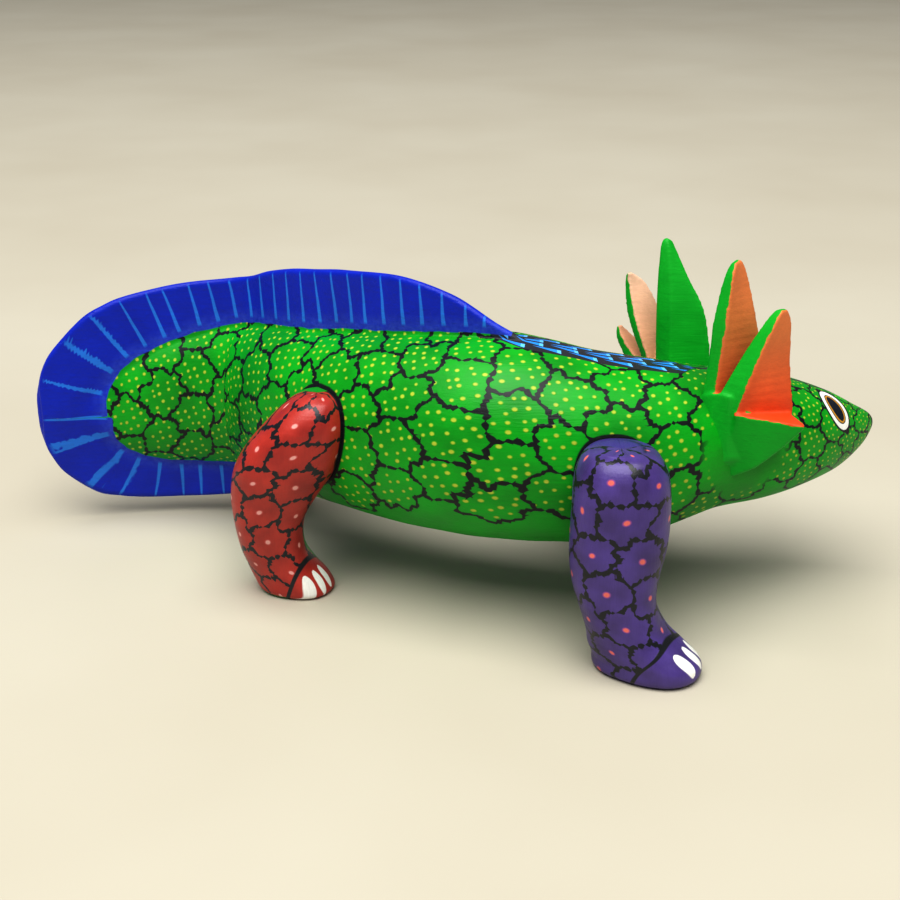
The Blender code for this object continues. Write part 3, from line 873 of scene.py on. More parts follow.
@dataclass
class Trunk:
    """The carved body with its head, tail and fin.

    All sizes are in millimetres.
    """

    plan: tuple[Row, ...] = BODY_PLAN
    along: np.ndarray = field(init=False, repr=False)   # how far along the spine each section lies
    station_step: float = 0.95
    fin_columns: int = 22       # steps down one face of the upper fin
    core_columns: int = 56      # steps round half of the core
    keel_columns: int = 14      # steps down one face of the lower fin
    core_roundness: float = 2.2
    fin_root_half: float = 2.6
    fin_edge_half: float = 1.3
    fin_taper_length: float = 20.0
    fin_blend: float = 4.0
    end_round: float = 1.3      # the tail's last edge is rounded over this length
    hollow_depth: float = 0.22
    hollow_size: float = 13.0
    stripe_half: float = 6.2
    head_stripe_half: float = 0.8
    fin_front: float = 17.5     # spine x where the blue of the fin ends
    fin_start_above: float = 1.4    # how far up the fin the blue begins, along the back
    stripe_span: tuple[float, float] = (64.0, 12.0)   # spine x of the gills and of the fin's front end
    eye_place: tuple[float, float] = (17.9, 10.8)      # along from the snout, up from the flank's middle
    eye_turn: float = 1.18
    eye_half: tuple[float, float] = (7.4, 3.8)
    iris_half: tuple[float, float] = (5.4, 2.6)
    lid_half: tuple[float, float] = (9.3, 1.9)         # the black outline's drawn-out corners
    nose: tuple[float, float] = (52.0, 0.75)    # scales shrink over this length, by up to this share
    gill_patch: tuple[float, float, float, float] = (80.0, 52.0, 12.5, 15.0)   # x, z and half sizes
    left_patch_back: float = 12.0
    # Spine x and half height of the scaled part of the tail, inside the blue of the fin.
    tail_patch: tuple[tuple[float, float], ...] = (
        (-107.8, 0.0), (-107.4, 4.6), (-106.2, 8.4), (-103.4, 12.2), (-98.0, 16.0),
        (-90.0, 18.9), (-79.1, 21.0), (-66.1, 22.6),
    )

    def stations(self) -> np.ndarray:
        """Spaces the sections evenly along the spine, closer at either end.

        Returns:
            One faired plan row for each section, from the tail to the snout.
        """
        fine = np.linspace(0, len(self.plan) - 1, 6000)
        rows = fair(self.plan, fine)
        length = lengths_along(rows[:, :2])
        inner = np.arange(2.0, length[-1] - 1.5, self.station_step)
        ends = np.array((0.0, 0.08, 0.2, 0.4, 0.65, 0.95, 1.3, 1.65))
        wanted = np.concatenate((ends, inner, length[-1] - ends[:0:-1] * 0.9, [length[-1]]))
        self.along = np.interp(wanted, length, length)
        places = np.interp(wanted, length, fine)
        return fair(self.plan, places)

    def widths(self, heights: np.ndarray, row: np.ndarray) -> np.ndarray:
        """Gives the half width of a section at each height.

        Args:
            heights: heights in the section, from its lowest to its highest.
            row: the section's plan row.

        Returns:
            The half widths.
        """
        middle, core_high, core_wide, fin_top, fin_bottom = row[2:]
        top = max(middle + core_high, fin_top)
        bottom = min(middle - core_high, fin_bottom)
        share = np.minimum(np.abs(heights - middle) / core_high, 1.0)
        core = core_wide * (1 - share ** self.core_roundness) ** (1 / self.core_roundness)
        depth = np.minimum(heights - bottom, top - heights).clip(0.0)
        edge = min(self.fin_edge_half, (top - bottom) / 4)
        taper = np.minimum(depth / self.fin_taper_length, 1.0)
        wedge = edge + (self.fin_root_half - self.fin_edge_half) * taper
        rounding = np.where(depth < edge, np.sqrt((2 * edge * depth - depth ** 2).clip(0.0)) / edge, 1.0)
        has_fin = smooth_step(max(fin_top - middle - core_high, middle - core_high - fin_bottom) + 0.5)
        fin = wedge * rounding * has_fin
        return (core ** self.fin_blend + fin ** self.fin_blend) ** (1 / self.fin_blend)

    def half_ring(self, row: np.ndarray) -> tuple[np.ndarray, np.ndarray]:
        """Spaces points down half a section, held at the roots of the fins.

        Args:
            row: the section's plan row.

        Returns:
            Half widths and heights, and the distance of each point up the girth from the flank's middle.
        """
        middle, core_high, core_wide, fin_top, fin_bottom = row[2:]
        top = max(middle + core_high, fin_top)
        bottom = min(middle - core_high, fin_bottom)
        hold = min(self.fin_root_half / max(core_wide, 0.1), 0.98)
        root = core_high * (1 - hold ** self.core_roundness) ** (1 / self.core_roundness)
        bounds = (bottom, middle - root, middle, middle + root, top)
        counts = (self.keel_columns, self.core_columns // 2, self.core_columns // 2, self.fin_columns)
        found = [np.array([[0.0, bottom]])]
        for low, high, count in zip(bounds, bounds[1:], counts):
            wave = (1 - np.cos(np.linspace(0, math.pi, 90))) / 2
            heights = low + (high - low) * wave
            wide = self.widths(heights, row)
            lengths = lengths_along(np.column_stack((wide, heights)))
            even = np.linspace(0, lengths[-1], count + 1)[1:]
            found.append(np.column_stack([np.interp(even, lengths, line) for line in (wide, heights)]))
        half = np.concatenate(found)
        half[-1] = (0.0, top)
        girth = lengths_along(half)
        return half, girth - girth[self.keel_columns + self.core_columns // 2]

    def build(self) -> Piece:
        """Builds the body and notes on it where each pattern lies.

        Returns:
            The body.
        """
        rows = self.stations()
        before, after = np.roll(rows, 1, axis=0), np.roll(rows, -1, axis=0)
        before[0], after[-1] = rows[0], rows[-1]
        ahead = (after - before)[:, :2]
        ahead /= np.linalg.norm(ahead, axis=1, keepdims=True)
        rings, girths = [], []
        length = self.along[-1]
        for row, direction, along in zip(rows, ahead, self.along):
            half, girth = self.half_ring(row)
            near_tail = min(along / self.end_round, 1.0)
            half[:, 0] *= math.sqrt(max(1 - (1 - near_tail) ** 2, 0.0)) * 0.97 + 0.03
            flat = half[:, :1] * np.array((direction[1], -direction[0]))
            right = np.column_stack((row[:2] + flat, half[:, 1]))
            left = np.column_stack((row[:2] - flat, half[:, 1]))[-2:0:-1]
            rings.append(np.concatenate((right, left)))
            girths.append(np.concatenate((girth, girth[-2:0:-1])))
        columns = len(rings[0])
        points = np.concatenate(rings)
        girth = np.concatenate(girths)
        snout = np.repeat(length - self.along, columns)
        outward = normals(points, columns)
        points -= outward * whittle(points, self.hollow_depth, self.hollow_size)[:, None]
        count = len(rings)
        steps = columns // 2
        faces = wall(count, columns)
        sides = [float(k >= steps) for k in range(columns)] * (count - 1)
        # Either end is closed across, from one flank to the other.
        for base, flip in ((0, True), ((count - 1) * columns, False)):
            for k in range(steps):
                a, b = base + k, base + k + 1
                c, d = base + (columns - k - 1) % columns, base + (columns - k) % columns
                corners = [a, b] + [v for v in (c, d) if v not in (a, b)]
                if k == steps - 1:
                    corners = [a, b, base + (columns - k) % columns]
                if k == 0:
                    corners = [a, b, base + columns - 1]
                faces.append(tuple(reversed(corners)) if flip else tuple(corners))
                sides.append(0.0)
        body = make_piece("painted_axolotl_body", points, faces)
        note(body, "left", np.array(sides[:len(body.data.polygons)]), "FACE")
        self.mark(body, points, snout, girth, rows, columns)
        return body

    def mark(
        self, body: Piece, points: np.ndarray, snout: np.ndarray, girth: np.ndarray, rows: np.ndarray,
        columns: int,
    ) -> None:
        """Notes where the scales, stripe, fin, eyes and plain patches lie.

        Args:
            body: the body.
            points: its vertices in plan millimetres.
            snout: each vertex's distance along the spine from the snout.
            girth: each vertex's distance up the girth from the flank's middle.
            rows: the plan row of each section.
            columns: vertices in a ring.
        """
        along = self.along[-1] - self.along
        # Scales shrink towards the snout: the pattern is stretched there, so that it reads as finer.
        reach, most = self.nose
        finer = 1 + most * (1 - smooth_step(along / reach))
        order = np.argsort(along)
        pace = finer[order][1:] + finer[order][:-1]
        gathered = np.concatenate(([0.0], np.cumsum(np.diff(along[order]) * pace / 2)))
        pattern = np.interp(snout, along[order], gathered)
        growth = np.repeat(finer, columns)
        note(body, "skin", np.column_stack((pattern, girth * growth, np.zeros(len(girth)))))

        spine_x = np.repeat(rows[:, 0], columns)
        top = np.repeat(girth.reshape(-1, columns).max(axis=1), columns)
        across = top - girth
        front, back = self.stripe_span
        on_head = smooth_step((spine_x - front + 4) / 8)
        half = self.stripe_half * (1 - on_head) + self.head_stripe_half * on_head
        half = half * (0.7 + 0.3 * smooth_step((spine_x - back) / 12)) - 9.0 * (spine_x < back - 2)
        x, z, long_half, tall_half = self.gill_patch
        right, left = (
            ellipse_gap(points[:, 0] - x + shift, points[:, 2] - z, long_half, tall_half)
            for shift in (0.0, self.left_patch_back)
        )
        patch = np.where(points[:, 1] < np.repeat(rows[:, 1], columns), right, left)
        note(body, "marks", np.column_stack((across - half, across, patch)))
        self.mark_fin(body, points, rows, columns, snout)

        place_along, place_up = self.eye_place
        cosine, sine = math.cos(self.eye_turn), math.sin(self.eye_turn)
        du, dw = snout - place_along, girth - place_up
        ex, ey = du * cosine + dw * sine, dw * cosine - du * sine
        outer = ellipse_gap(ex, ey, *self.eye_half)
        lids = np.minimum(outer - 0.45, ellipse_gap(ex, ey, *self.lid_half))
        note(body, "lids", lids)
        inner = ellipse_gap(ex, ey, *self.iris_half)
        note(body, "eye", np.column_stack((outer, inner, snout)))

    def mark_fin(
        self, body: Piece, points: np.ndarray, rows: np.ndarray, columns: int, snout: np.ndarray
    ) -> None:
        """Notes how far along and how far out each vertex lies on the fin, and how deep the fin is there.

        Args:
            body: the body.
            points: its vertices in plan millimetres.
            rows: the plan row of each section.
            columns: vertices in a ring.
            snout: each vertex's distance along the spine from the snout.
        """
        along = self.along[-1] - self.along
        spots, halves = np.array(self.tail_patch).T
        half = np.where(rows[:, 0] < spots[-1], np.interp(rows[:, 0], spots, halves), rows[:, 3])
        kept = half > 0
        high = np.column_stack((along, rows[:, 2] + half))[kept][::-1]
        low = np.column_stack((along, rows[:, 2] - half))[kept]
        even, outline = evenly(np.concatenate((high, low)), 0.5)
        top, bottom = (np.column_stack((along, rows[:, i])) for i in (5, 6))
        _, rim = evenly(np.concatenate((top[::-1], bottom)), 0.7)
        flat = np.column_stack((snout, points[:, 2]))
        nearest, gap = self.nearest(flat, outline)
        ahead = np.gradient(outline, axis=0)
        ahead /= np.linalg.norm(ahead, axis=1, keepdims=True)
        part = ((flat - outline[nearest]) * ahead[nearest]).sum(axis=1).clip(-0.5, 0.5)
        _, to_rim = self.nearest(flat, rim)
        middle = np.repeat(rows[:, 2], columns)
        core = np.repeat(half, columns)
        upper = points[:, 2] > middle
        outside = np.abs(points[:, 2] - middle) > core
        fin_high = np.repeat(rows[:, 5] - rows[:, 2] - rows[:, 3], columns)
        fin_low = np.repeat(rows[:, 2] - rows[:, 3] - rows[:, 6], columns)
        has_fin = np.where(upper, fin_high, fin_low) > 0.6
        has_fin &= np.repeat(rows[:, 0], columns) < self.fin_front
        out = np.where(outside & has_fin, gap, -gap - 1.5 * ~has_fin)
        out -= np.where(upper, self.fin_start_above, 0.0)
        full = np.maximum(out, 0) + to_rim
        note(body, "fin", np.column_stack((even[nearest] + part, out, np.maximum(full, 0.5))))

    @staticmethod
    def nearest(points: np.ndarray, line: np.ndarray) -> tuple[np.ndarray, np.ndarray]:
        """Finds the nearest point of a line to each point.

        Args:
            points: points in a plane.
            line: the line's points.

        Returns:
            The number of the nearest line point, and the distance to it.
        """
        numbers = np.empty(len(points), int)
        gaps = np.empty(len(points))
        for start in range(0, len(points), 4000):
            part = points[start:start + 4000]
            squared = ((part[:, None, :] - line[None, :, :]) ** 2).sum(axis=2)
            numbers[start:start + 4000] = squared.argmin(axis=1)
            gaps[start:start + 4000] = np.sqrt(squared.min(axis=1))
        return numbers, gaps


# --------------------------------------------------------------------------------------------- the legs

# Height, middle x, middle y, half length, half width, turn of the long axis in degrees.
FRONT_LEG_PLAN: tuple[Row, ...] = (
    (0.0, 51.5, -42.8, 13.0, 9.2, -30.0),
    (1.2, 51.7, -42.8, 14.8, 10.8, -30.0),
    (4.5, 51.4, -42.8, 14.7, 10.8, -29.0),
    (8.0, 49.0, -42.5, 13.2, 10.5, -26.0),
    (12.5, 46.2, -42.2, 10.8, 10.2, -20.0),
    (20.0, 43.4, -41.4, 10.5, 10.6, 0.0),
    (28.0, 42.7, -40.4, 11.8, 11.2, 0.0),
    (37.0, 43.5, -39.2, 12.9, 11.8, 0.0),
    (46.0, 43.9, -38.0, 12.8, 12.0, 0.0),
    (53.0, 43.9, -37.0, 12.2, 11.6, 0.0),
    (57.0, 43.7, -36.4, 10.8, 10.6, 0.0),
    (59.2, 43.6, -36.0, 8.8, 9.0, 0.0),
    (60.0, 43.6, -36.0, 6.0, 6.4, 0.0),
)
REAR_LEG_PLAN: tuple[Row, ...] = (
    (0.0, -45.0, 4.3, 9.8, 7.6, -22.0),
    (1.2, -45.0, 4.3, 11.4, 9.2, -22.0),
    (5.0, -46.6, 4.2, 11.4, 9.1, -22.0),
    (10.0, -49.4, 3.6, 9.9, 8.8, -14.0),
    (15.5, -51.2, 2.6, 9.4, 8.8, 0.0),
    (24.0, -51.6, 1.4, 10.3, 9.2, 0.0),
    (32.0, -49.6, 0.4, 12.4, 10.0, 0.0),
    (40.0, -46.4, -0.5, 14.4, 10.8, 0.0),
    (47.0, -43.0, -1.0, 13.8, 11.0, 0.0),
    (52.5, -40.2, -1.0, 12.0, 10.8, 0.0),
    (57.0, -38.2, -0.5, 9.6, 10.0, 0.0),
    (60.6, -37.0, 0.0, 6.4, 8.0, 0.0),
    (62.2, -36.7, 0.0, 3.4, 4.8, 0.0),
)


@dataclass
class Leg:
    """One carved leg with its foot.

    All sizes are in millimetres.
    """

    node: str
    plan: tuple[Row, ...]
    side: Side
    stance: tuple[float, float, float, float] | None = None   # reflecting line, forward shift, sweep, lean
    ring_step: float = 0.6
    columns: int = 108
    roundness: float = 2.25
    hollow_depth: float = 0.25
    hollow_size: float = 9.0
    ankle: float = 6.6          # how far ahead of the leg's axis the plain toes begin
    ankle_bulge: float = 0.0    # how far the last scale laps over the toes
    claw_turn: float = 8.0      # degrees that the claws point inwards of the foot
    claw_half: tuple[float, float] = (4.4, 1.15)
    claws: tuple[tuple[float, float], ...] = ((5.2, -4.5), (6.4, -1.3), (6.6, 2.0))   # start, place across
    shin_wrap: float = 0.5      # radians that it comes further round on the shin
    inner_start: float = 2.0    # radians round from the outer face where the inner colour begins
    skin_radius: float = 11.5   # the scales' pattern is wrapped round this radius
    toe_slope: float = 0.35     # how far the ankle's line leans back for each mm up
    claw_slope: float = 0.7     # the same for the claws, which lie on top of the toes

    def rows(self) -> tuple[Row, ...]:
        """Gives this leg's plan, reflected into its own stance on the left.

        Returns:
            The plan's rows.
        """
        if self.stance is None:
            return self.plan
        line, forward, sweep, lean = self.stance
        top = self.plan[-1][0]
        return tuple(
            (z, x + forward + sweep * (1 - z / top), line - y + lean * z / top, long_half, wide_half, -turn)
            for z, x, y, long_half, wide_half, turn in self.plan
        )

    def build(self) -> Piece:
        """Builds the leg and notes on it where each pattern lies.

        Returns:
            The leg.
        """
        plan = self.rows()
        fine = np.linspace(0, len(plan) - 1, 3000)
        rows = fair(plan, fine)
        length = lengths_along(rows[:, (0, 3)])
        wanted = np.concatenate((np.arange(0, length[-1], self.ring_step), [length[-1]]))
        rows = fair(plan, np.interp(wanted, length, fine))
        rows[:, 0] = rows[:, 0].clip(0.0)
        angle = np.linspace(0, 2 * math.pi, self.columns, endpoint=False)
        rings = [self.ring(row, angle) for row in rows]
        # The top is closed with rings that shrink and rise a little, the sole with flat ones.
        for shrink, rise in ((0.8, 0.25), (0.6, 0.45), (0.4, 0.58), (0.2, 0.64), (0.03, 0.66)):
            middle = rings[len(rows) - 1].mean(axis=0)
            ring = middle + (rings[len(rows) - 1] - middle) * shrink
            ring[:, 2] = np.minimum(middle[2] + rise, plan[-1][0])
            rings.append(ring)
        sole = rings[0].mean(axis=0)
        under = [sole + (rings[0] - sole) * shrink for shrink in (0.03, 0.35, 0.7)]
        rings = under + rings
        points = np.concatenate(rings)
        count = len(rings)
        outward = normals(points, self.columns)
        depth = whittle(points, self.hollow_depth, self.hollow_size)
        depth[points[:, 2] < 0.2] = 0
        points -= outward * depth[:, None]
        points[:, 2] = points[:, 2].clip(0.0)
        n = self.columns
        faces = wall(count, n) + [tuple(range(n))[::-1], tuple(range((count - 1) * n, count * n))]
        leg = make_piece("painted_" + self.node, points, faces)
        self.mark(leg, points)
        return leg

    def ring(self, row: np.ndarray, angle: np.ndarray) -> np.ndarray:
        """Gives one level ring of the leg.

        Args:
            row: the ring's plan row.
            angle: each column's angle round the leg.

        Returns:
            The ring's points.
        """
        z, x, y, long_half, wide_half, turn = row
        c, s = np.cos(angle), np.sin(angle)
        power = 2 / self.roundness
        flat_x = long_half * np.sign(c) * np.abs(c) ** power
        flat_y = wide_half * np.sign(s) * np.abs(s) ** power
        cosine, sine = math.cos(math.radians(turn)), math.sin(math.radians(turn))
        across_x = x + flat_x * cosine - flat_y * sine
        across_y = y + flat_x * sine + flat_y * cosine
        return np.column_stack((across_x, across_y, np.full(len(angle), z)))

    def mark(self, leg: Piece, points: np.ndarray) -> None:
        """Notes where the scales, toes, claws and the inner face lie.

        Args:
            leg: the leg.
            points: its vertices in plan millimetres.
        """
        n = self.columns
        grid = points.reshape(-1, n, 3)
        middles = grid.mean(axis=1)
        offset = grid - middles[:, None, :]
        # Angle from the outer face, growing towards the front.
        outer = np.arctan2(offset[:, :, 0], offset[:, :, 1] * self.side.value)
        steps = np.linalg.norm(np.diff(grid, axis=0), axis=2).mean(axis=1)
        lengths = np.concatenate(([0.0], np.cumsum(steps)))
        around = outer * self.skin_radius
        skin = np.stack((around, np.repeat(lengths[:, None], n, axis=1), np.zeros_like(around)), axis=2)
        note(leg, "skin", skin.reshape(-1, 3))

        plan = self.rows()
        turn = plan[0][5]
        ankle_x, ankle_y = plan[4][1:3]
        heading = math.radians(turn)
        dx, dy, z = points[:, 0] - ankle_x, points[:, 1] - ankle_y, points[:, 2]
        forward = dx * math.cos(heading) + dy * math.sin(heading)
        sideways = -dx * math.sin(heading) + dy * math.cos(heading)
        lap = self.ankle_bulge * np.exp(-((z - 9.5) / 4) ** 2)
        toes = forward - z * self.toe_slope - self.ankle - lap
        claw = np.full(len(points), FAR)
        sideways *= -self.side.value
        splay = math.radians(self.claw_turn)
        down = forward * math.cos(splay) + sideways * math.sin(splay) - z * self.claw_slope
        across = sideways * math.cos(splay) - forward * math.sin(splay)
        for start, place in self.claws:
            strip = ellipse_gap(down - start - self.claw_half[0], across - place, *self.claw_half)
            claw = np.minimum(claw, strip)
        claw = np.where((z < 0.3) | (forward < 4.0), FAR, claw)
        # On the shin the inner colour shows from outside, along the front.
        round_shin = np.exp(-((z - 16.0) / 9.0) ** 2) * (outer.reshape(-1) > 0)
        inner = (self.inner_start - self.shin_wrap * round_shin - np.abs(outer).reshape(-1)) * 8
        sole_edge = z * 2 - np.where(forward < self.ankle, 1.8, 0.2)
        inner = np.minimum(inner, sole_edge)
        note(leg, "marks", np.column_stack((toes, claw, inner)))


# -------------------------------------------------------------------------------------------- the gills

Prongs = dict[str, tuple[tuple[Row, ...], ...]]
RIGHT_FAN: Prongs = {
    "tall": (
        ((69.5, -15.0, 56.0), (70.7, -15.2, 71.0), (72.0, -15.2, 86.5),
         (73.2, -13.4, 98.0), (74.2, -11.4, 101.8)),
        ((86.0, -11.0, 56.0), (84.2, -10.2, 71.0), (81.2, -9.5, 85.5),
         (77.8, -8.2, 98.5), (75.8, -8.6, 102.0)),
        ((82.0, -6.0, 56.0), (80.5, -5.4, 71.0), (78.2, -5.0, 86.0), (75.6, -5.6, 98.5), (75.0, -7.2, 101.8)),
        ((65.5, -11.5, 56.0), (67.6, -13.0, 71.0), (68.6, -13.0, 85.5),
         (70.9, -11.4, 97.0), (73.0, -9.8, 101.4)),
    ),
    "middle": (
        ((74.2, -18.0, 50.0), (75.7, -19.6, 63.0), (79.9, -19.6, 77.2),
         (84.2, -18.8, 88.2), (86.0, -17.2, 90.8)),
        ((91.5, -11.0, 50.0), (91.4, -15.5, 62.0), (89.8, -14.5, 76.0),
         (89.3, -14.5, 86.0), (87.8, -15.0, 90.2)),
        ((88.0, -6.5, 50.0), (87.6, -10.5, 62.0), (86.4, -10.5, 76.0),
         (86.8, -12.0, 86.5), (86.8, -13.8, 90.4)),
        ((67.5, -14.0, 50.0), (69.6, -16.0, 64.0), (75.8, -16.0, 77.0),
         (81.0, -16.0, 86.2), (84.2, -15.8, 90.6)),
    ),
    "low": (
        ((74.6, -20.2, 63.2), (81.0, -22.4, 62.8), (87.2, -24.2, 62.3), (92.2, -25.4, 61.9)),
        ((88.0, -8.0, 62.2), (89.8, -12.5, 62.2), (91.4, -18.5, 62.1), (92.8, -24.0, 61.9)),
        ((83.5, -8.0, 42.5), (85.8, -12.0, 46.6), (88.6, -17.5, 53.4), (92.4, -24.2, 60.6)),
        ((75.0, -16.5, 43.5), (80.8, -19.6, 47.4), (86.4, -22.2, 53.2), (92.0, -25.2, 60.6)),
    ),
    "root": (
        ((62.5, -6.0, 62.0), (66.2, -11.8, 65.0), (69.6, -15.6, 67.5), (73.4, -18.6, 68.0)),
        ((90.0, -4.0, 62.6), (89.5, -9.0, 62.6), (86.0, -14.4, 62.2), (81.0, -19.8, 61.8)),
        ((86.5, -6.0, 42.0), (84.6, -10.2, 43.6), (82.0, -14.8, 45.6), (79.4, -18.8, 49.4)),
        ((62.5, -8.0, 42.0), (66.4, -14.0, 43.6), (70.4, -17.2, 46.2), (74.4, -18.8, 50.0)),
    ),
}
LEFT_FAN: Prongs = {
    "tall": (
        ((60.0, 24.5, 54.0), (59.2, 25.5, 80.0), (59.8, 27.8, 95.0), (60.8, 28.6, 98.2)),
        ((61.5, 29.0, 54.0), (60.4, 29.6, 80.0), (60.8, 30.6, 95.0), (61.4, 30.8, 98.0)),
        ((73.0, 27.0, 52.0), (71.0, 28.0, 76.0), (66.5, 29.5, 88.0), (63.0, 30.5, 97.4)),
        ((76.5, 20.5, 52.0), (73.6, 22.5, 76.0), (68.0, 25.4, 88.0), (63.4, 28.4, 97.6)),
        ((63.5, 19.5, 52.0), (63.0, 22.8, 80.0), (62.0, 26.4, 95.0), (61.8, 28.0, 98.6)),
    ),
    "middle": (
        ((61.0, 24.0, 54.0), (54.8, 31.0, 72.0), (52.6, 35.0, 82.5), (52.0, 35.8, 86.2)),
        ((59.6, 28.0, 54.0), (52.6, 33.6, 72.0), (51.2, 36.8, 82.0), (51.6, 37.2, 86.0)),
        ((68.0, 34.0, 54.0), (60.0, 38.5, 72.0), (55.6, 39.4, 82.0), (52.8, 38.0, 86.0)),
        ((71.0, 29.5, 54.0), (63.5, 35.0, 72.0), (58.0, 37.4, 82.5), (53.4, 36.6, 86.2)),
    ),
    "low": (
        ((62.0, 25.0, 53.0), (55.0, 33.6, 61.0), (51.4, 37.6, 66.0), (50.2, 39.4, 69.0)),
        ((61.0, 27.0, 49.0), (53.4, 35.2, 58.0), (49.8, 39.6, 65.0), (49.8, 40.4, 68.8)),
        ((71.0, 27.0, 49.0), (59.6, 38.5, 58.0), (53.0, 42.0, 65.2), (51.0, 41.4, 68.8)),
        ((72.0, 25.0, 53.0), (60.6, 36.5, 61.5), (54.4, 40.4, 66.4), (51.6, 40.4, 69.0)),
    ),
}


@dataclass
class GillFan:
    """A carved fan of three gill prongs, cut from one block.

    All sizes are in millimetres.
    """

    node: str
    prongs: Prongs
    palms: dict[str, tuple[int, ...]]    # which faces of each prong are palms
    palm_floor: float = 0.0              # height below which no palm shows
    palm_lap: float = 0.3                # how far the palm's colour laps over its edge
    rings: int = 26
    voxel: float = 0.42
    easing: int = 9                      # passes that take the arrises off
    # The palms' painted shade, deeper low in the notches, is measured up from this height.
    rise_from: float = 60.0              # height that the palms' change of colour is measured from

    def build(self) -> Piece:
        """Builds the fan and notes on it where the palms are.

        Returns:
            The fan.
        """
        points: list[np.ndarray] = []
        faces: list[tuple[int, ...]] = []
        palm_faces: list[tuple[int, ...]] = []
        back_faces: list[tuple[int, ...]] = []
        for label, lines in self.prongs.items():
            places = np.linspace(0, len(lines[0]) - 1, self.rings)
            grid = np.stack([fair(line, places) for line in lines], axis=1)
            base, n = sum(len(p) for p in points), len(lines)
            points.append(grid.reshape(-1, 3))
            for k in range(n):
                j = (k + 1) % n
                strip = [
                    (base + i * n + k, base + i * n + j, base + (i + 1) * n + j, base + (i + 1) * n + k)
                    for i in range(self.rings - 1)
                ]
                faces += strip
                for i, face in enumerate(strip):
                    high = grid[i + 1, (k, j), 2].min() > self.palm_floor
                    if k in self.palms.get(label, ()) and high:
                        palm_faces.append(face)
                    elif not (label == "root" and high):
                        back_faces.append(face)
            faces.append(tuple(base + k for k in range(n))[::-1])
            tip = tuple(base + (self.rings - 1) * n + k for k in range(n))
            faces.append(tip)
            back_faces.append(tip)
        cloud = np.concatenate(points)
        fan = make_piece("painted_" + self.node, cloud, faces)
        remesh = fan.modifiers.new("one_block", "REMESH")
        remesh.mode = "VOXEL"
        remesh.voxel_size = self.voxel * MM
        ease = fan.modifiers.new("eased_arrises", "SMOOTH")
        ease.factor = 0.5
        ease.iterations = self.easing
        self.settle(fan)
        fan.data.shade_smooth()
        placed = np.empty(len(fan.data.vertices) * 3, np.float32)
        fan.data.vertices.foreach_get("co", placed)
        placed = placed.reshape(-1, 3) / MM + PLAN_CENTRE
        to_palm, to_back = (
            np.array([tree.find_nearest(Vector(p))[3] for p in placed])
            for tree in (BVHTree.FromPolygons(cloud.tolist(), group) for group in (palm_faces, back_faces))
        )
        note(fan, "palm", to_back - to_palm + self.palm_lap)
        note(fan, "rise", placed[:, 2] - self.rise_from)
        return fan

    @staticmethod
    def settle(piece: Piece) -> None:
        """Turns a piece's modifiers into its mesh.

        Args:
            piece: the piece.
        """
        graph = bpy.context.evaluated_depsgraph_get()
        made = bpy.data.meshes.new_from_object(piece.evaluated_get(graph))
        piece.modifiers.clear()
        piece.data = made


# --------------------------------------------------------------------------------------------- the room

@dataclass
class Studio:
    """Pale floor, soft overhead light and the camera. Lengths are in metres."""

    floor_half: float = 4.0
    floor_colour: str = "#bfb9a8"
    floor_cloud: str = "#b9b2a0"
    floor_roughness: float = 0.75
    lamp_place: tuple[float, float, float] = (-0.16, -0.60, 2.20)
    lamp_size: float = 2.4
    lamp_power: float = 114.0
    sky_colour: str = "#e6e8ec"
    sky_strength: float = 0.30
    gamma: float = 0.82
    camera_place: tuple[float, float, float] = (0.0030, -0.3995, 0.2023)
    camera_tilt: float = 68.0
    lens: float = 60.0
    sensor: float = 36.0

    def build(self) -> None:
        """Builds the floor, the lights and the camera."""
        scene = bpy.context.scene
        self.floor()
        self.lamp()
        world = bpy.data.worlds.new("soft_room")
        world.use_nodes = True
        sky = world.node_tree.nodes["Background"]
        sky.inputs["Color"].default_value = linear(self.sky_colour)
        sky.inputs["Strength"].default_value = self.sky_strength
        scene.world = world
        scene.view_settings.view_transform = "Standard"
        scene.view_settings.gamma = self.gamma
        lens = bpy.data.cameras.new("camera")
        lens.lens = self.lens
        lens.sensor_width = self.sensor
        lens.clip_start = 0.01
        camera = bpy.data.objects.new("camera", lens)
        camera.location = self.camera_place
        camera.rotation_euler = (math.radians(self.camera_tilt), 0.0, 0.0)
        scene.collection.objects.link(camera)
        scene.camera = camera

    def floor(self) -> None:
        """Lays the floor, a matt painted board with a faint cloudy tone."""
        h = self.floor_half
        mesh = bpy.data.meshes.new("pale_floor")
        mesh.from_pydata([(-h, -h, 0), (h, -h, 0), (h, h, 0), (-h, h, 0)], [], [(0, 1, 2, 3)])
        floor = bpy.data.objects.new("pale_floor", mesh)
        bpy.context.scene.collection.objects.link(floor)
        material, tree = start_finish("matt_pale_board")
        place = add(tree, Node.COORDINATES, out="Object")
        clouds = add(tree, Node.NOISE, {"Vector": place, "Scale": 6.0, "Detail": 3.0})
        mask = add(tree, Node.RANGE, (clouds, 0.3, 0.7))
        colour = over(tree, mask, linear(self.floor_colour), self.floor_cloud)
        shader = add(tree, Node.SHADER, {"Base Color": colour, "Roughness": self.floor_roughness})
        add(tree, Node.OUTPUT, {"Surface": shader})
        mesh.materials.append(material)

    def lamp(self) -> None:
        """Hangs a square softbox that faces the figure."""
        light = bpy.data.lights.new("overhead_softbox", "AREA")
        light.shape = "SQUARE"
        light.size = self.lamp_size
        light.energy = self.lamp_power
        lamp = bpy.data.objects.new("overhead_softbox", light)
        lamp.location = self.lamp_place
        lamp.rotation_euler = (-Vector(self.lamp_place)).to_track_quat("-Z", "Y").to_euler()
        bpy.context.scene.collection.objects.link(lamp)


# --------------------------------------------------------------------------------------- putting together

class Slot(Enum):
    """The record's slots for painted wood."""

    GREEN = "green_paint"
    PURPLE = "purple_paint"
    RED = "red_paint"
    GILL = "gill_paint"


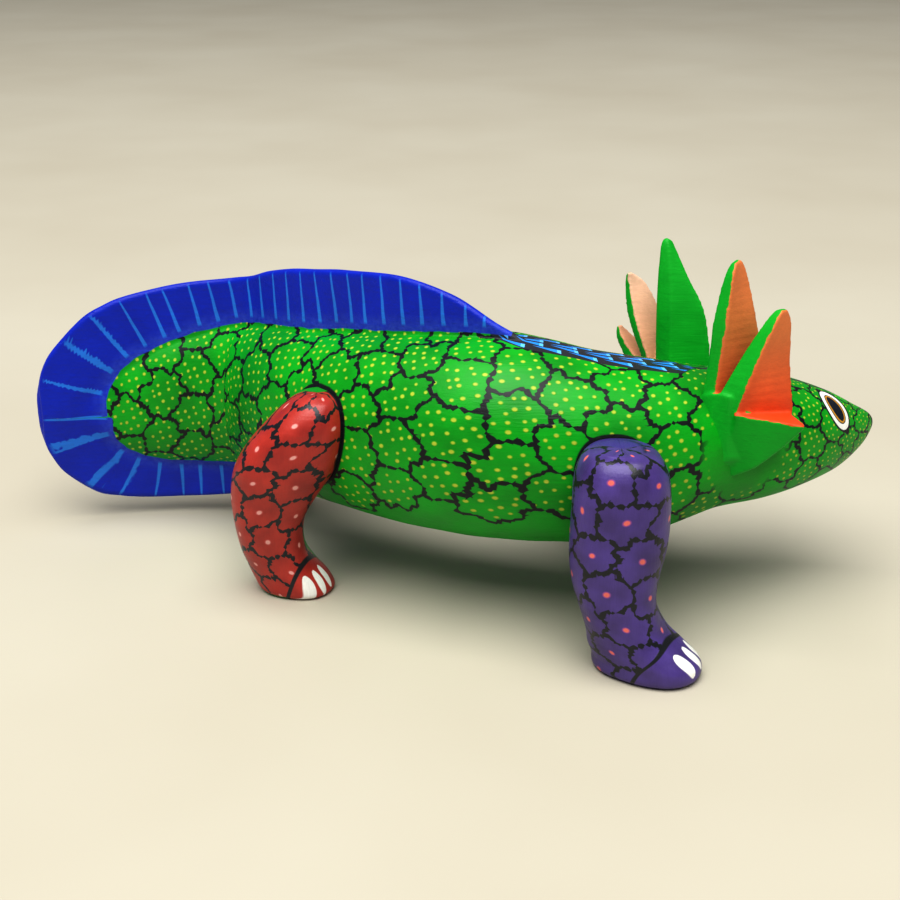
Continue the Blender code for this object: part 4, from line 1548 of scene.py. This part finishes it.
def dress(piece: Piece, material: bpy.types.Material, node: str) -> None:
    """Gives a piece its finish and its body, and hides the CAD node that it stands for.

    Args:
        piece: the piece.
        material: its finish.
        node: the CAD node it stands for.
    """
    piece.data.materials.clear()
    piece.data.materials.append(material)
    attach(piece, "root")
    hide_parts(node)
    LOG.info("built %s: %d faces", piece.name, len(piece.data.polygons))


def skin_of(piece: Piece) -> BVHTree:
    """Sorts a piece's faces, so that the nearest one to a point is soon found."""
    mesh = piece.data
    return BVHTree.FromPolygons([v.co for v in mesh.vertices], [p.vertices for p in mesh.polygons])


def gaps(piece: Piece, other: BVHTree) -> np.ndarray:
    """Measures how far each vertex of a piece is from another piece's skin.

    Args:
        piece: the piece.
        other: the other piece's sorted faces.

    Returns:
        A gap in millimetres for each vertex, FAR where it's over six.
    """
    found = (other.find_nearest(v.co, 6 * MM)[3] for v in piece.data.vertices)
    return np.array([FAR if gap is None else gap / MM for gap in found])


def mark_joints(body: Piece, legs: list[Piece]) -> None:
    """Notes how far the body's skin is from each leg and each leg's from the body, in millimetres.

    Args:
        body: the body.
        legs: the legs.
    """
    trunk = skin_of(body)
    for leg in legs:
        note(leg, "joint", gaps(leg, trunk))
    note(body, "joint", np.min([gaps(body, skin_of(leg)) for leg in legs], axis=0))


def dress_pins(nodes: dict[str, Piece]) -> None:
    """Gives the CAD's dowels and pegs, whose shape is right as it is, their finish.

    Args:
        nodes: every CAD node by name.
    """
    bare = BareCopal().make()
    for name, node in nodes.items():
        if name.endswith(("_dowel", "_peg")):
            node.data.materials.clear()
            node.data.materials.append(bare)
            LOG.info("dressed %s", name)


def main() -> None:
    """Builds and dresses every piece in order."""
    logging.basicConfig(level=logging.INFO, format="%(name)s: %(message)s")
    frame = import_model()
    Studio().build()
    body = Trunk().build()
    dress(body, SkinPaint().make(), "body")
    purple = LegPaint(
        "hand_brushed_purple_acrylic_on_copal_leg", "#533f88", "#45336f", "#dc6e66", "#86488c", "#40307c"
    ).make()
    red = LegPaint(
        "hand_brushed_red_acrylic_on_copal_leg", "#b4362a", "#9c2a22", "#e2a49c", "#c05450", "#0c8a1c"
    ).make()
    front = {
        "ankle": 5.4, "ankle_bulge": 3.0, "claw_turn": 22.0, "claw_half": (4.9, 1.5),
        "claws": ((6.4, -7.6), (8.2, -3.3), (8.7, 0.7)), "shin_wrap": 0.0,
    }
    front_left, rear_left = (2.0, 0.1, 2.3, -11.7), (70.5, 7.3, -19.3, -11.3)
    legs = (
        (Leg("front_right_leg", FRONT_LEG_PLAN, Side.RIGHT, **front), purple, Slot.PURPLE),
        (Leg("front_left_leg", FRONT_LEG_PLAN, Side.LEFT, front_left, **front), purple, Slot.PURPLE),
        (Leg("rear_right_leg", REAR_LEG_PLAN, Side.RIGHT), red, Slot.RED),
        (Leg("rear_left_leg", REAR_LEG_PLAN, Side.LEFT, rear_left), red, Slot.RED),
    )
    built = []
    for leg, paint, slot in legs:
        built.append(leg.build())
        dress(built[-1], paint, leg.node)
    mark_joints(body, built)
    fans = (
        (
            GillFan("right_gill_fan", RIGHT_FAN, dict.fromkeys(("tall", "middle", "low"), (0,)), 61.7),
            GillPaint("knife_cut_copal_gills_in_green_and_red_orange", "#dc4a18", "#dc8048"),
        ),
        (
            GillFan("left_gill_fan", LEFT_FAN, {"middle": (3,), "low": (3,)}),
            GillPaint("knife_cut_copal_gills_in_green_and_peach", "#eba07c", "#efc0a4"),
        ),
    )
    for fan, paint in fans:
        dress(fan.build(), paint.make(), fan.node)
    dress_pins(frame["nodes"])


if __name__ == "__main__":
    main()
